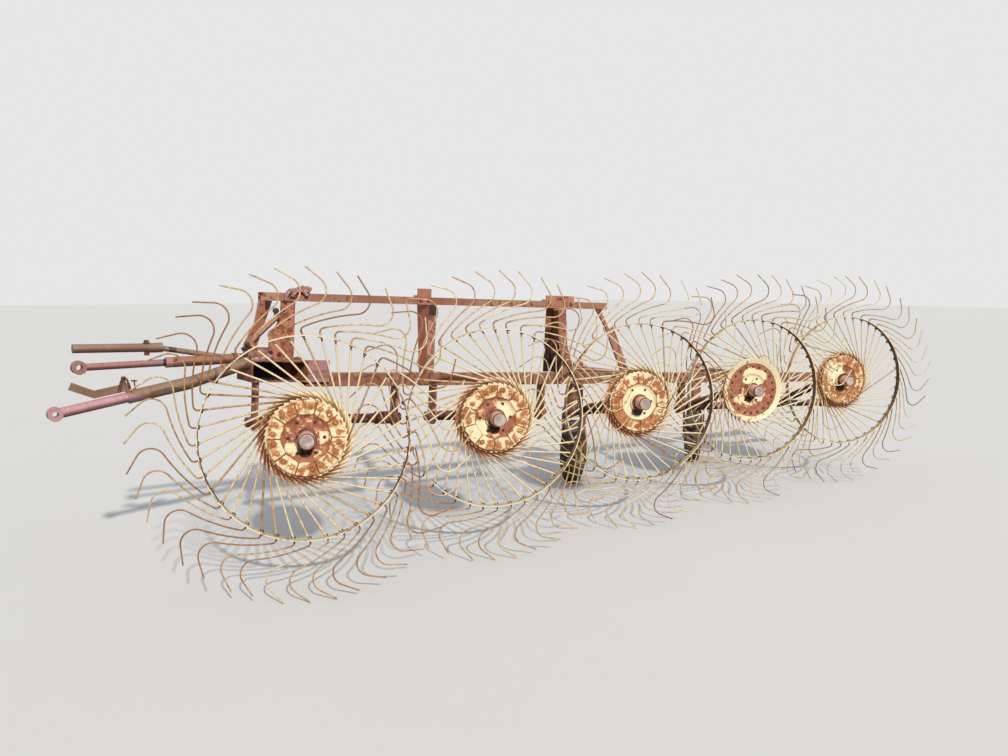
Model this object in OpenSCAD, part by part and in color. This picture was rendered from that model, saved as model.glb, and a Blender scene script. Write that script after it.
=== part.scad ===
// Right-hand section of a rotary hay rake: five finger wheels in echelon, each on its own
// crank under a two-storey frame, with two castor wheels and telescopic coupling poles.
// Millimetres. +X runs along the frame from the inner wheel to the outer one, +Z is up,
// the frame lies on the +Y side of the wheels. The origin is the eye of the lower pole.

/* [Finger wheels] */
// Number of finger wheels
wheel_count = 5; // [3:1:5]
// Distance between neighbouring hubs along the frame
wheel_pitch = 1015; // [960:5:1100]
// Angle between the wheels' planes and the frame
wheel_skew = 22.2; // [18:0.1:28]
// Radius of the hoop that ties the fingers, at mid-thickness
hoop_r = 450; // [430:1:470]
// Width of the hoop along the axle
hoop_w = 35; // [20:1:45]
// Thickness of the hoop
hoop_t = 5; // [4:0.5:8]

/* [Fingers] */
// Number of spring fingers on a wheel
finger_count = 40; // [30:1:40]
// Diameter of a finger
finger_d = 8; // [6:0.5:8]
// Radius of the circle that the straight part of a finger is tangent to
root_r = 170; // [165:1:185]
// Distance from that tangent point to the finger's root end
root_gap = 52; // [50:1:70]
// How far a finger runs on past the hoop's middle before its first bend
overrun = 12; // [8:1:20]
// Radius of the first bend
kink_r = 20; // [15:1:30]
// Heading after the first bend, from the hoop's tangent
kink_heading = 22; // [15:1:28]
// Radius of the long sweep that trails outside the hoop
sweep_r = 740; // [600:10:900]
// Heading where the sweep ends
sweep_heading = 4; // [0:1:8]
// Radius of the hook at the end
hook_r = 62; // [50:1:75]
// Heading of the straight tip
tip_heading = 122; // [110:1:130]
// Length of the straight tip
tip_len = 85; // [60:1:100]

/* [Hubs] */
// Radius of the narrow clamp plate, in front on all wheels but one
disc_r = 167; // [150:1:170]
// Radius of the wide clamp plate that covers the finger roots
back_r = 205; // [200:1:215]
// Radius of the recessed middle
dish_r = 110; // [90:1:120]
// Which wheel has its wide plate in front of the finger roots
turned_hub = 4; // [1:1:5]
// Thickness of the hub's sheet metal
hub_t = 4; // [3:0.5:6]
// Radius of the axle
axle_r = 35; // [28:0.5:40]
// Wall of the hub's barrel round the axle
barrel_wall = 17; // [12:0.5:22]
// Length of the barrel behind the back plate
barrel_back = 62; // [50:1:75]
// Length of the barrel in front of the fingers' plane
barrel_front = 14; // [10:1:20]
// Number of holes in the recessed middle
hub_holes = 6; // [4:1:8]
// Radius of those holes
hub_hole_r = 8; // [5:0.5:10]
// Radius of the circle that those holes lie on
hub_hole_pcd_r = 78; // [72:1:88]
// Running clearance of the hub on its axle, radial
run_gap = 0.05; // [0.03:0.01:0.1]

/* [Cranks] */
// Length of a crank from its shaft to its axle, seen from above
crank_reach = 580; // [540:5:640]
// Height of the inner end of the crank shafts above the ground
shaft_z = 743; // [720:1:760]
// Radius of the crank shafts
shaft_r = 25; // [20:0.5:30]
// Length of each crank shaft
shaft_len = 850; // [780:5:880]
// How far the shaft starts before its wheel's hub
shaft_lead = 50; // [40:5:90]
// Radius of the crank arm
arm_r = 27; // [22:0.5:32]
// Distance from the fingers' plane back to the arm
arm_back = 120; // [105:1:140]
// How far the axle stands out in front of the fingers' plane
stub_len = 95; // [60:1:110]
// Radius of the boss that joins axle and arm
boss_r = 50; // [45:1:55]
// Thickness of the collars beside the barrel
collar_t = 8; // [5:0.5:12]
// How far each shaft's inner hanger lies before its wheel's hub
hanger_lead = 8; // [0:1:20]
// Distance between the two hangers of a shaft
hanger_gap = 773; // [740:1:775]
// Width of the hangers' rings round the shafts
hanger_rim = 22; // [18:1:26]

/* [Frame] */
// Height of the lower beam's middle above the ground, at the frame's zero
beam_z = 951; // [930:1:980]
// Side of the lower beam's square tube
beam_s = 68; // [60:1:76]
// Wall of the beams' tubes
beam_wall = 5; // [4:0.5:6]
// Length of the lower beam beyond the coupling head
beam_len = 4680; // [4600:5:4750]
// Angle that the frame dips towards its outer end
frame_dip = 3.3; // [2:0.1:3.6]
// Height of the top beam's middle above the lower beam's, at the frame's zero
top_rise = 406; // [390:1:450]
// Angle that the top beam rises from the lower beam's line
top_tilt = 1.4; // [0:0.1:2]
// Side of the top beam's square tube
top_s = 40; // [36:1:50]
// Length of the top beam
top_len = 2270; // [2240:5:2300]
// Thickness of gusset, plates and hangers
plate_t = 12; // [8:1:14]
// Inner edge of the gusset's foot along the frame
gusset_x = 51; // [45:1:60]
// Width of the gusset's foot
gusset_foot = 130; // [120:1:150]
// Width of the gusset's top
gusset_top = 72; // [60:1:80]
// Radius of the gusset's holes
gusset_hole_r = 9; // [6:0.5:12]
// Front corner of the middle post along the frame
post_x = 936; // [900:1:960]
// Width of the middle post along the frame
post_w = 50; // [45:1:60]
// Depth of the middle post across the frame, at its foot
post_foot = 76; // [68:1:90]
// Depth of the middle post across the frame, at its top
post_top = 126; // [100:1:140]
// Wall of the posts' channels
post_wall = 7; // [5:0.5:9]
// Inner edge of the outer post along the frame
channel_x = 1857; // [1830:1:1880]
// Width of the outer post along the frame
channel_w = 60; // [50:1:80]
// How far the foot of its front strap lies beyond the strap's head
strap_run = 68; // [50:1:90]
// Width of that strap's foot
strap_foot = 80; // [70:1:90]
// Height of the strap's bend above the lower beam's middle
strap_bend = 200; // [180:1:220]
// Depth of the outer post across the frame
channel_d = 120; // [100:1:140]
// Inner edge of the outer strut's head along the frame
strut_x = 2190; // [2180:1:2200]
// How far the outer strut's foot lies beyond its head
strut_run = 258; // [240:1:270]
// Width of the outer strut
strut_w = 72; // [60:1:80]
// How far the strut's bend lies beyond its head
strut_bend_run = 93; // [85:1:100]
// Height of that bend above the lower beam's middle
strut_bend_z = 324; // [310:1:340]
// Width of the stays at the inner end
stay_w = 57; // [45:1:60]
// Distance between the two stays' middle planes
stay_gap = 28; // [26:1:30]
// Thickness of the stays
stay_t = 10; // [8:1:12]
// Width of the stays' feet
stay_foot = 29; // [25:1:34]
// Distance from the coupling head's inner end to the stays' feet
stay_toe = 14; // [8:1:18]
// Height of the stays' knee above the lower beam's middle
stay_knee = 168; // [155:1:185]
// How far that knee lies inwards of the frame's zero
stay_kick = 69; // [60:1:75]
// Height of the stays' elbow above the lower beam's middle, at its inner edge
stay_elbow = 276; // [260:1:290]
// How much higher the elbow's outer edge lies
stay_slant = 54; // [45:1:60]
// How far that elbow lies inwards of the frame's zero
stay_lean = 17; // [12:1:20]
// Radius of the adjusting rod between stay and gusset
adjust_r = 11; // [8:0.5:14]
// Radius of the bosses at the rod's ends
adjust_boss_r = 15; // [12:0.5:18]
// Height of the rod's foot above the lower beam's middle
adjust_foot_z = 178; // [165:1:190]
// Height of the rod's head above the lower beam's middle
adjust_head_z = 312; // [305:1:320]
// Distance from the gusset's foot to the rod's head along the frame
adjust_head_x = 34; // [30:1:40]

/* [Coupling head] */
// Inner end of the coupling head along the frame
head_x0 = -52; // [-60:1:-45]
// Length of the head's open channel
head_len = 292; // [270:1:300]
// Top of the coupling head above the lower beam's middle
head_top = 100; // [90:1:110]
// Bottom of the coupling head below the lower beam's middle
head_low = 8; // [0:1:14]
// Depth of the coupling head across the frame
head_d = 200; // [190:1:220]
// How far the head's front edge lies before the beam's middle
head_front = 60; // [50:1:65]
// Wall of the coupling head
head_wall = 9; // [6:1:12]
// Length of the cheek that joins head and lower beam
bracket_len = 112; // [100:1:125]
// Radius of the pivot housing on the coupling head
housing_r = 30; // [28:0.5:32]
// Length of the pivot housing
housing_len = 127; // [110:1:135]

/* [Coupling poles] */
// Distance from the frame's zero to the lower pole's eye
eye_back = 893; // [860:1:930]
// Height of the lower pole's eye above the ground
eye_z = 860; // [850:1:870]
// Bore radius of the coupling eyes
eye_bore = 13; // [10:0.5:15]
// Outer radius of the coupling eyes
eye_r = 30; // [27:0.5:34]
// Length of the eyes' bores
eye_w = 52; // [50:1:60]
// Outer radius of the lower telescopic tube
low_tube_r = 29.5; // [28:0.5:32]
// Radius of the lower tube between its bend and the coupling head
low_neck_r = 28; // [26:0.5:29]
// Outer radius of the lower sliding pole
low_pole_r = 22.5; // [20:0.5:23.5]
// Outer radius of the upper telescopic tube
high_tube_r = 24; // [23:0.5:26]
// Outer radius of the upper sliding pole
high_pole_r = 16; // [14:0.5:18]
// Radial clearance between sliding pole and tube
slide_gap = 0.3; // [0.2:0.05:0.5]
// Length of the lower tube's straight bored part
low_tube_len = 274; // [270:1:290]
// Length of the upper tube
high_tube_len = 371; // [350:1:390]
// Length of pole inside its tube as parked
pole_inside = 160; // [155:1:165]
// Radius of the brace rod
brace_r = 13; // [11:0.5:15]
// Radius of the sleeve on the brace rod
sleeve_r = 20; // [18:0.5:23]
// How far a sliding pole can go in from where it is parked
slide_in = 110; // [105:1:112]
// Height of the cranked link bar on the lower tube
link_h = 34; // [28:1:36]
// Radius of the peg on the link bar
link_peg_r = 8; // [7:0.5:12]
// Length of that peg
link_peg = 50; // [30:1:60]

/* [Pole lines] */
// Distance of the lower pole's line in front of the lower beam's middle
low_ahead = 20; // [15:1:25]
// Distance of the upper pole's line behind the lower beam's middle
high_behind = 50; // [50:1:52]
// Distance of the brace rod's line behind the lower beam's middle
brace_behind = 120; // [115:1:125]
// Distance from the frame's zero back to the lower tube's bend
low_bend_back = 330; // [320:1:340]
// Height of that bend above the ground
low_bend_z = 958; // [950:1:965]
// Height of the lower tube at the coupling head
low_root_z = 1040; // [1030:1:1045]
// Height of the upper tube at the coupling head
high_root_z = 1056; // [1050:1:1060]
// Distance from the frame's zero back to the upper pole's eye
high_back = 780; // [760:1:800]
// Height of the upper pole's eye above the ground
high_z = 1048; // [1040:1:1060]
// Height of the brace rod at the coupling head
brace_root_z = 1045; // [1035:1:1050]
// Distance from the frame's zero back to the brace rod's bend
brace_bend_back = 430; // [420:1:440]
// Height of the brace rod's bend above the ground
brace_bend_z = 1118; // [1110:1:1125]
// Distance from the frame's zero back to the brace rod's end
brace_back = 790; // [770:1:800]
// Height of the brace rod's end above the ground
brace_z = 1127; // [1120:1:1135]
// Radius of the collar on the brace rod's sleeve
collar_r = 23; // [22:0.5:26]
// Length of the collar on the brace rod's sleeve
brace_collar = 70; // [60:1:80]

/* [Castor wheels] */
// Radius of the castor tyres
tyre_r = 225; // [200:1:240]
// Width of the castor tyres
tyre_w = 120; // [90:1:130]
// Radius of the castor rims
rim_r = 140; // [125:1:150]
// Place of the inner castor leg along the frame
inner_castor_x = 2620; // [2550:10:2700]
// Place of the outer castor leg along the frame
outer_castor_x = 3900; // [3850:10:3950]
// Distance of the castor legs from the hubs' line
castor_y = 1200; // [1100:10:1300]
// Radius of the castor legs' tubes
leg_r = 38; // [34:1:45]
// Radius of the castor king pins
king_r = 25; // [20:0.5:28]
// Length of the castor king pins
king_len = 250; // [200:5:255]
// Side of the outriggers' square tubes
outrigger_s = 60; // [50:1:68]
// Clearance between tyre and fork
fork_gap = 12; // [10:1:20]
// Thickness of the fork's sides
fork_t = 10; // [8:1:14]
// Width of the fork's sides
fork_w = 60; // [50:1:70]
// Thickness of the fork's crown
crown_t = 15; // [10:1:20]
// Radius of the castor axles
castor_axle_r = 12; // [10:0.5:15]
// Radius of the castor wheels' naves
nave_r = 40; // [30:1:50]
// Length of the castor wheels' naves
nave_len = 110; // [90:1:115]
// Thickness of the castor wheels' discs
wheel_disc_t = 10; // [8:1:14]
// Depth of the castor rims' flanges
flange_d = 20; // [15:1:25]
// How far the castor wheel trails behind its king pin
trail = 110; // [80:5:140]
// Direction of travel, from the frame's line
travel_heading = 35; // [0:5:90]

/* [Hidden] */
$fn = 48;
seat = 0.3;

wheel_ids = [for (i = [0:wheel_count - 1]) i];

// Colours
oxide = "#8a4f45";
faded = "#b3766f";
rust = "#a4592f";
cream = "#d9cfa8";
black = "#2b2a29";

// A finger as a path in the wheel's plane. Angles are headings, and the hoop is crossed at
// the top of the wheel, at [0, hoop_r].
root_sweep = acos(root_r / hoop_r);
root_heading = 90 + (90 - root_sweep);
straight_len = sqrt(hoop_r * hoop_r - root_r * root_r);
function ahead(h) = [cos(h), sin(h)];
function left_of(h) = [-sin(h), cos(h)];
cross_point = [0, hoop_r];
root_point = cross_point - (straight_len - root_gap) * ahead(root_heading);
bend_start = cross_point + overrun * ahead(root_heading);
kink_mid = bend_start - kink_r * left_of(root_heading);
sweep_start = kink_mid + kink_r * left_of(kink_heading);
sweep_mid = sweep_start - sweep_r * left_of(kink_heading);
hook_start = sweep_mid + sweep_r * left_of(sweep_heading);
hook_mid = hook_start + hook_r * left_of(sweep_heading);
tip_start = hook_mid - hook_r * left_of(tip_heading);
tip_point = tip_start + tip_len * ahead(tip_heading);
tip_rim = tip_point - finger_d / 2 * left_of(tip_heading);
tip_radius = norm(tip_rim);
tip_angle = atan2(tip_rim[1], tip_rim[0]);

// Wheels stand on the ground on their finger tips.
hub_z = tip_radius;
beam_y = crank_reach;
finger_back = -(finger_d / 2 + seat);
finger_front = finger_d / 2 + seat;
bore_r = axle_r + run_gap;
barrel_r = axle_r + barrel_wall;
shaft_drop = beam_z - shaft_z;
half = beam_s / 2;
castor_x = [inner_castor_x, outer_castor_x];

// Poles, from the frame's zero on the ground. The lower tube has a bend before its bored part.
low_y = beam_y - low_ahead;
high_y = beam_y + high_behind;
brace_y = beam_y + brace_behind;
root_x = head_x0 + head_wall;
eye = [-eye_back, low_y, eye_z];
low_bend = [-low_bend_back, low_y, low_bend_z];
low_root = [root_x, low_y, low_root_z];
high_root = [root_x, high_y, high_root_z];
high_end = [-high_back, high_y, high_z];
brace_root = [root_x, brace_y, brace_root_z];
brace_mid = [-brace_bend_back, brace_y, brace_bend_z];
brace_end = [-brace_back, brace_y, brace_z];

// Moves the model so that the lower pole's eye is the origin.
module from_eye() { translate(-eye) children(); }

// The frame's own line: it dips towards the outer end about the lower beam's inner end.
module on_frame() { translate([0, 0, beam_z]) rotate([0, frame_dip, 0]) children(); }
function frame_point(x, y, z) =
    [x * cos(frame_dip) + z * sin(frame_dip), y, beam_z - x * sin(frame_dip) + z * cos(frame_dip)];

function unit(v) = v / norm(v);

// Turns local +Z to run from a to b.
module along(a, b) {
    v = b - a;
    translate(a) rotate([0, acos(v[2] / norm(v)), atan2(v[1], v[0])]) children();
}

module rod(a, b, r) { along(a, b) cylinder(r = r, h = norm(b - a)); }

// A wheel's own frame: local +Z points along its axle to the free stub.
module on_wheel(i) {
    translate([i * wheel_pitch, 0, hub_z]) rotate([90, 0, -wheel_skew]) children();
}

// A finger as stations [point, heading] along its middle line.
kink_steps = 3;
sweep_steps = 2;
hook_steps = 6;
function between(a, b, j, n) = a + (b - a) * j / n;
stations = concat(
    [[root_point, root_heading]],
    [for (j = [0:kink_steps]) let (h = between(root_heading, kink_heading, j, kink_steps))
        [kink_mid + kink_r * left_of(h), h]],
    [for (j = [1:sweep_steps]) let (h = between(kink_heading, sweep_heading, j, sweep_steps))
        [sweep_mid + sweep_r * left_of(h), h]],
    [for (j = [1:hook_steps]) let (h = between(sweep_heading, tip_heading, j, hook_steps))
        [hook_mid - hook_r * left_of(h), h]],
    [[tip_point, tip_heading]]);
outline = concat(
    [for (s = stations) s[0] - finger_d / 2 * left_of(s[1])],
    [for (j = [len(stations) - 1:-1:0]) stations[j][0] + finger_d / 2 * left_of(stations[j][1])]);
function turned(p, a) = [p[0] * cos(a) - p[1] * sin(a), p[0] * sin(a) + p[1] * cos(a)];

module fingers(i) {
    n = len(outline);
    color(cream) from_eye() on_wheel(i) translate([0, 0, -finger_d / 2]) linear_extrude(finger_d)
        polygon(
            points = [for (k = [0:finger_count - 1]) each
                [for (p = outline) turned(p, -90 - tip_angle + k * 360 / finger_count)]],
            paths = [for (k = [0:finger_count - 1]) [for (j = [0:n - 1]) k * n + j]]);
}

module hoop(i) {
    color(cream) from_eye() on_wheel(i) translate([0, 0, finger_front])
        difference() {
            cylinder(r = hoop_r + hoop_t / 2, h = hoop_w, $fn = 96);
            translate([0, 0, -1]) cylinder(r = hoop_r - hoop_t / 2, h = hoop_w + 2, $fn = 96);
        }
}

// A clamp plate on each side of the finger roots; on the turned hub the wide one is in front.
module hub(i) {
    wide_front = i + 1 == turned_hub;
    front_r = wide_front ? back_r : disc_r;
    rear_r = wide_front ? disc_r : back_r;
    color(rust) from_eye() on_wheel(i) difference() {
        rotate_extrude($fn = 96) polygon([
            [bore_r, finger_back - hub_t - barrel_back], [barrel_r, finger_back - hub_t - barrel_back],
            [barrel_r, finger_back - hub_t], [rear_r, finger_back - hub_t],
            [rear_r, finger_back], [dish_r + hub_t, finger_back],
            [dish_r + hub_t, finger_front], [front_r, finger_front],
            [front_r, finger_front + hub_t], [dish_r, finger_front + hub_t],
            [dish_r, finger_back], [barrel_r, finger_back],
            [barrel_r, barrel_front], [bore_r, barrel_front]]);
        for (k = [0:hub_holes - 1])
            rotate([0, 0, k * 360 / hub_holes]) translate([hub_hole_pcd_r, 0, finger_back - 2 * hub_t])
                cylinder(r = hub_hole_r, h = 3 * hub_t);
    }
}

// Point of wheel i's axle where the crank arm meets it.
function arm_head(i) = [i * wheel_pitch + arm_back * sin(wheel_skew),
                        arm_back * cos(wheel_skew), hub_z];
function shaft_point(x) = frame_point(x, beam_y, -shaft_drop);

module crank(i) {
    head = arm_head(i);
    shaft_x = head[0];
    back_end = finger_back - hub_t - barrel_back;
    color(oxide) from_eye() {
        on_wheel(i) {
            translate([0, 0, -arm_back - boss_r]) cylinder(r = axle_r, h = arm_back + boss_r + stub_len);
            translate([0, 0, -arm_back - boss_r]) cylinder(r = boss_r, h = 2 * boss_r - 5);
            translate([0, 0, back_end - seat - collar_t]) cylinder(r = barrel_r, h = collar_t);
            translate([0, 0, barrel_front + seat]) cylinder(r = barrel_r - 5, h = collar_t);
        }
        rod(head, shaft_point(shaft_x), arm_r);
        rod(shaft_point(i * wheel_pitch - shaft_lead),
            shaft_point(i * wheel_pitch - shaft_lead + shaft_len), shaft_r);
    }
}

// The four sides of a square tube along x.
module tube_x(len, side, wall) {
    difference() {
        translate([0, -side / 2, -side / 2]) cube([len, side, side]);
        translate([-1, -side / 2 + wall, -side / 2 + wall])
            cube([len + 2, side - 2 * wall, side - 2 * wall]);
    }
}

beam_start = head_x0 + head_len + seat;
module lower_beam() {
    color(oxide) from_eye() on_frame() translate([beam_start, beam_y, 0])
        tube_x(beam_len, beam_s, beam_wall);
}

// The top beam's own line, and the height of its underside above the lower beam's middle.
module on_top() { translate([0, 0, top_rise]) rotate([0, -top_tilt, 0]) children(); }
function under_top(x) = top_rise + x * tan(top_tilt) - top_s / 2 / cos(top_tilt) - seat;

module top_beam() {
    color(oxide) from_eye() on_frame() on_top() translate([0, beam_y, 0])
        tube_x(top_len, top_s, beam_wall - 1);
}

// Plate in the frame's plane: outline in [x, z], middle plane at y.
module plate(points, t, y) {
    translate([0, y + t / 2, 0]) rotate([90, 0, 0]) linear_extrude(t) polygon(points);
}

// One edge of a bar of width w whose middle line runs through points given as [x, z].
function bar_side(p, w) = [for (k = [0:len(p) - 1])
    let (d = unit(p[min(k + 1, len(p) - 1)] - p[max(k - 1, 0)])) p[k] + w / 2 * [-d[1], d[0]]];

// Flat bar in the frame's plane, bent at those points, with its middle plane at y.
module bent_bar(p, w, t, y) {
    far = bar_side(p, -w);
    plate(concat(bar_side(p, w), [for (k = [len(p) - 1:-1:0]) far[k]]), t, y);
}

post_z0 = half + seat;
tower_z0 = head_top + seat;

// Points of the gusset's notched inner edge: distance from its top's inner edge, and height.
gusset_edge = [[0, 336], [-32, 330], [-32, 296], [-12, 284], [-24, 262], [-44, 238], [-54, 216]];
// Places of its holes, given in the same way.
gusset_holes = [[14, 341], [-4, 125]];
module inner_gusset() {
    right = gusset_x + gusset_foot;
    left = right - gusset_top;
    color(faded) from_eye() on_frame() difference() {
        plate(concat([[gusset_x, tower_z0], [right, tower_z0], [right, under_top(right)],
                      [left, under_top(left)]], [for (p = gusset_edge) [left + p[0], p[1]]]),
              plate_t, beam_y);
        for (p = gusset_holes)
            translate([left + p[0], beam_y, p[1]]) rotate([90, 0, 0])
                cylinder(r = gusset_hole_r, h = 2 * plate_t, center = true);
    }
}

// Channel post: its broad side looks along the frame, and its outer side is open.
module middle_post() {
    front = beam_y - half;
    top = under_top(post_x);
    color(faded) from_eye() on_frame() translate([post_x, 0, 0]) difference() {
        rotate([90, 0, 90]) linear_extrude(post_w) polygon([
            [front, post_z0], [front + post_foot, post_z0], [front + post_top, top], [front, top]]);
        translate([post_wall, front + post_wall, post_z0 - 1])
            cube([post_w, post_foot - 2 * post_wall, top]);
    }
}

// Angle post, open to the front and the inner end, with a slanting strap over its front.
module outer_post() {
    front = beam_y - half;
    top = under_top(channel_x);
    foot = channel_x + strap_run;
    color(oxide) from_eye() on_frame() {
        translate([channel_x, front, post_z0]) difference() {
            cube([channel_w, channel_d, top - post_z0]);
            translate([-1, -1, -1])
                cube([channel_w - post_wall + 1, channel_d - post_wall + 1, top]);
        }
        plate([[channel_x, top], [channel_x + channel_w, top], [foot + strap_foot / 4, strap_bend],
               [foot + strap_foot, post_z0 + strap_foot / 4], [foot + strap_foot, post_z0],
               [foot, post_z0], [channel_x + strap_run / 3, strap_bend]],
              post_wall, front + post_wall / 2);
    }
}

module outer_strut() {
    right = strut_x + strut_w;
    color(oxide) from_eye() on_frame()
        plate([[strut_x, under_top(strut_x)], [right, under_top(right)],
               [right + strut_bend_run, strut_bend_z], [right + strut_run, post_z0],
               [strut_x + strut_run, post_z0], [strut_x + strut_bend_run, strut_bend_z]],
              plate_t, beam_y);
}

// The two stays stand on the coupling head and lean outwards up to the top beam.
module stay(y) {
    foot = head_x0 + stay_toe;
    color(faded) from_eye() on_frame()
        plate([[0, under_top(0)], [stay_w, under_top(stay_w)],
               [stay_w - stay_lean, stay_elbow + stay_slant], [stay_w - stay_kick, stay_knee],
               [foot + stay_foot, tower_z0], [foot, tower_z0], [-stay_kick, stay_knee],
               [-stay_lean, stay_elbow]], stay_t, y);
}

// Rod that sets the tower: from the front stay's foot to the gusset's notch.
module adjusting_rod() {
    y = beam_y - stay_gap / 2 - stay_t / 2 - adjust_r - seat;
    foot = [head_x0, y, adjust_foot_z];
    head = [gusset_x + adjust_head_x, y, adjust_head_z];
    color(oxide) from_eye() on_frame() {
        rod(foot, head, adjust_r);
        translate(head) rotate([-90, 0, 0])
            cylinder(r = adjust_boss_r, h = beam_y - plate_t / 2 - seat - y);
        translate(foot - [0, adjust_boss_r, 0]) rotate([-90, 0, 0])
            cylinder(r = adjust_boss_r, h = adjust_boss_r + adjust_r);
    }
}

// The coupling head: a deep channel open to the front, a cheek over its joint with the beam, and
// a pivot housing on top.
module coupling_head() {
    y0 = beam_y - head_front;
    high = head_top + head_low;
    color(oxide) from_eye() on_frame() {
        translate([head_x0, y0, -head_low]) difference() {
            cube([head_len, head_d, high]);
            translate([head_wall, -1, head_wall])
                cube([head_len - 2 * head_wall, head_d - head_wall + 1, high - 2 * head_wall]);
        }
        translate([head_x0 + head_len - 2, y0, -head_low])
            cube([bracket_len + 2, head_front - half - seat, high]);
        translate([head_x0 + 6, high_y, head_top + housing_r - 4]) rotate([0, 90, 0])
            cylinder(r = housing_r, h = housing_len);
    }
}

// Keeps what lies outside the coupling head's end face.
module before_head() {
    intersection() {
        children();
        on_frame() translate([head_x0 - seat - 2000, 0, -1000]) cube([2000, 2 * beam_y, 2000]);
    }
}

// Clamps that hold the top beam on gusset and posts: middle, width, rise over the beam's underside.
clamps = [[198, 94, 16], [912, 84, 46], [1875, 218, 34]];
clamp_t = 9;
module top_clamps() {
    color(faded) from_eye() on_frame() on_top()
        for (c = clamps) translate([c[0] - c[1] / 2, beam_y - top_s / 2 - seat - clamp_t, -top_s / 2]) {
            cube([c[1], clamp_t, top_s + seat + c[2]]);
            translate([0, 0, top_s + seat]) cube([c[1], top_s + clamp_t, clamp_t]);
        }
}

hanger_x = [for (i = wheel_ids) each
    [i * wheel_pitch - hanger_lead, i * wheel_pitch - hanger_lead + hanger_gap]];

// The first hanger hangs under the coupling head, the others under the lower beam.
function hung(x) = (x < beam_start ? head_low : half) + seat;

module shaft_hangers() {
    color(oxide) from_eye() on_frame()
        for (x = hanger_x)
            translate([x, beam_y, 0]) rotate([90, 0, 90]) translate([0, 0, -plate_t / 2])
                linear_extrude(plate_t) difference() {
                    union() {
                        translate([-half, -shaft_drop]) square([beam_s, shaft_drop - hung(x)]);
                        translate([0, -shaft_drop]) circle(r = shaft_r + hanger_rim);
                    }
                    translate([0, -shaft_drop]) circle(r = shaft_r + run_gap);
                }
}

// Relief spring: close turns of wire round the shaft, beside the outer hanger.
spring_wire = 9;
spring_turns = 12;
spring_pitch = 8.6;
module relief_springs() {
    color(oxide) from_eye() on_frame()
        for (i = wheel_ids)
            translate([hanger_x[2 * i + 1] - plate_t / 2 - seat - spring_wire / 2, beam_y, -shaft_drop])
                rotate([0, -90, 0]) rotate_extrude()
                    for (k = [0:spring_turns - 1])
                        translate([shaft_r + spring_wire / 2 + seat, k * spring_pitch])
                            circle(d = spring_wire);
}

leg_top = outrigger_s;
leg_z0 = 2 * tyre_r + 3 * crown_t;

module outrigger(k) {
    root = frame_point(castor_x[k], beam_y, 0);
    start = beam_y + half + seat;
    color(oxide) from_eye() difference() {
        union() {
            translate([root[0] - outrigger_s / 2, start, root[2] - outrigger_s / 2])
                cube([outrigger_s, castor_y - start, outrigger_s]);
            translate([root[0], castor_y, leg_z0]) cylinder(r = leg_r, h = root[2] + leg_top - leg_z0);
        }
        translate([root[0], castor_y, leg_z0 - 1]) cylinder(r = king_r + run_gap, h = king_len + fork_gap);
    }
}

module at_castor(k) {
    translate([frame_point(castor_x[k], beam_y, 0)[0], castor_y, 0])
        rotate([0, 0, travel_heading]) children();
}

module castor_fork(k) {
    inside = tyre_w / 2 + fork_gap;
    outside = inside + fork_t;
    crown_z = leg_z0 - seat - crown_t;
    side_z0 = tyre_r - fork_w / 2;
    color(oxide) from_eye() at_castor(k) {
        translate([0, 0, crown_z]) cylinder(r = king_r, h = king_len);
        translate([-trail - fork_w / 2, -outside, crown_z])
            cube([trail + fork_w / 2 + leg_r, 2 * outside, crown_t]);
        for (y = [-outside, inside])
            translate([-trail - fork_w / 2, y, side_z0]) cube([fork_w, fork_t, crown_z + 1 - side_z0]);
        translate([-trail, -outside, tyre_r]) rotate([-90, 0, 0])
            cylinder(r = castor_axle_r, h = 2 * outside);
    }
}

module at_castor_wheel(k) { at_castor(k) translate([-trail, 0, tyre_r]) rotate([90, 0, 0]) children(); }

module castor_rim(k) {
    bore = castor_axle_r + run_gap;
    inner = rim_r - flange_d;
    edge = (tyre_w - flange_d) / 2;
    disc = wheel_disc_t / 2;
    end = nave_len / 2;
    color(cream) from_eye() at_castor_wheel(k) rotate_extrude() polygon([
        [bore, -end], [nave_r, -end], [nave_r, -disc], [inner, -disc], [inner, -edge], [rim_r, -edge],
        [rim_r, edge], [inner, edge], [inner, disc], [nave_r, disc], [nave_r, end], [bore, end]]);
}

// The tyre's section: side walls, a crown, and round shoulders between them.
tyre_shoulder = 30;
tyre_bead = 8;
module castor_tyre(k) {
    wall = tyre_w / 2 - tyre_bead;
    crown = wall - tyre_shoulder;
    foot = rim_r + seat;
    color(black) from_eye() at_castor_wheel(k) rotate_extrude() union() {
        translate([foot, -wall]) square([tyre_r - tyre_shoulder - foot, 2 * wall]);
        translate([foot, -crown]) square([tyre_r - foot, 2 * crown]);
        for (s = [-1, 1]) translate([tyre_r - tyre_shoulder, s * crown]) circle(r = tyre_shoulder);
    }
}

low_run = unit(eye - low_bend);
low_mouth = low_bend + low_tube_len * low_run;
high_run = unit(high_end - high_root);
high_mouth = high_root + high_tube_len * high_run;

// The link bar's bends: distance along the lower pole from the tube's mouth, and height.
link_line = [[-22, 0], [130, 0], [216, 58]];
link_sink = 1;
bend_lap = 6;

// The lower tube bends before its bored part and carries a cranked link bar with a peg.
module lower_tube() {
    up = [low_run[2], 0, -low_run[0]];
    lift = low_mouth + (low_tube_r + link_h / 2 - link_sink) * up;
    color(oxide) from_eye() {
        difference() {
            union() {
                before_head() rod(low_bend, low_root, low_neck_r);
                rod(low_bend - bend_lap * low_run, low_mouth, low_tube_r);
            }
            rod(low_bend, low_mouth + low_run, low_pole_r + slide_gap);
        }
        bent_bar([for (p = link_line) let (q = lift + p[0] * low_run + p[1] * up) [q[0], q[2]]],
                 link_h, plate_t, low_y);
        rod(lift, lift + link_peg * up, link_peg_r);
    }
}

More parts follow.
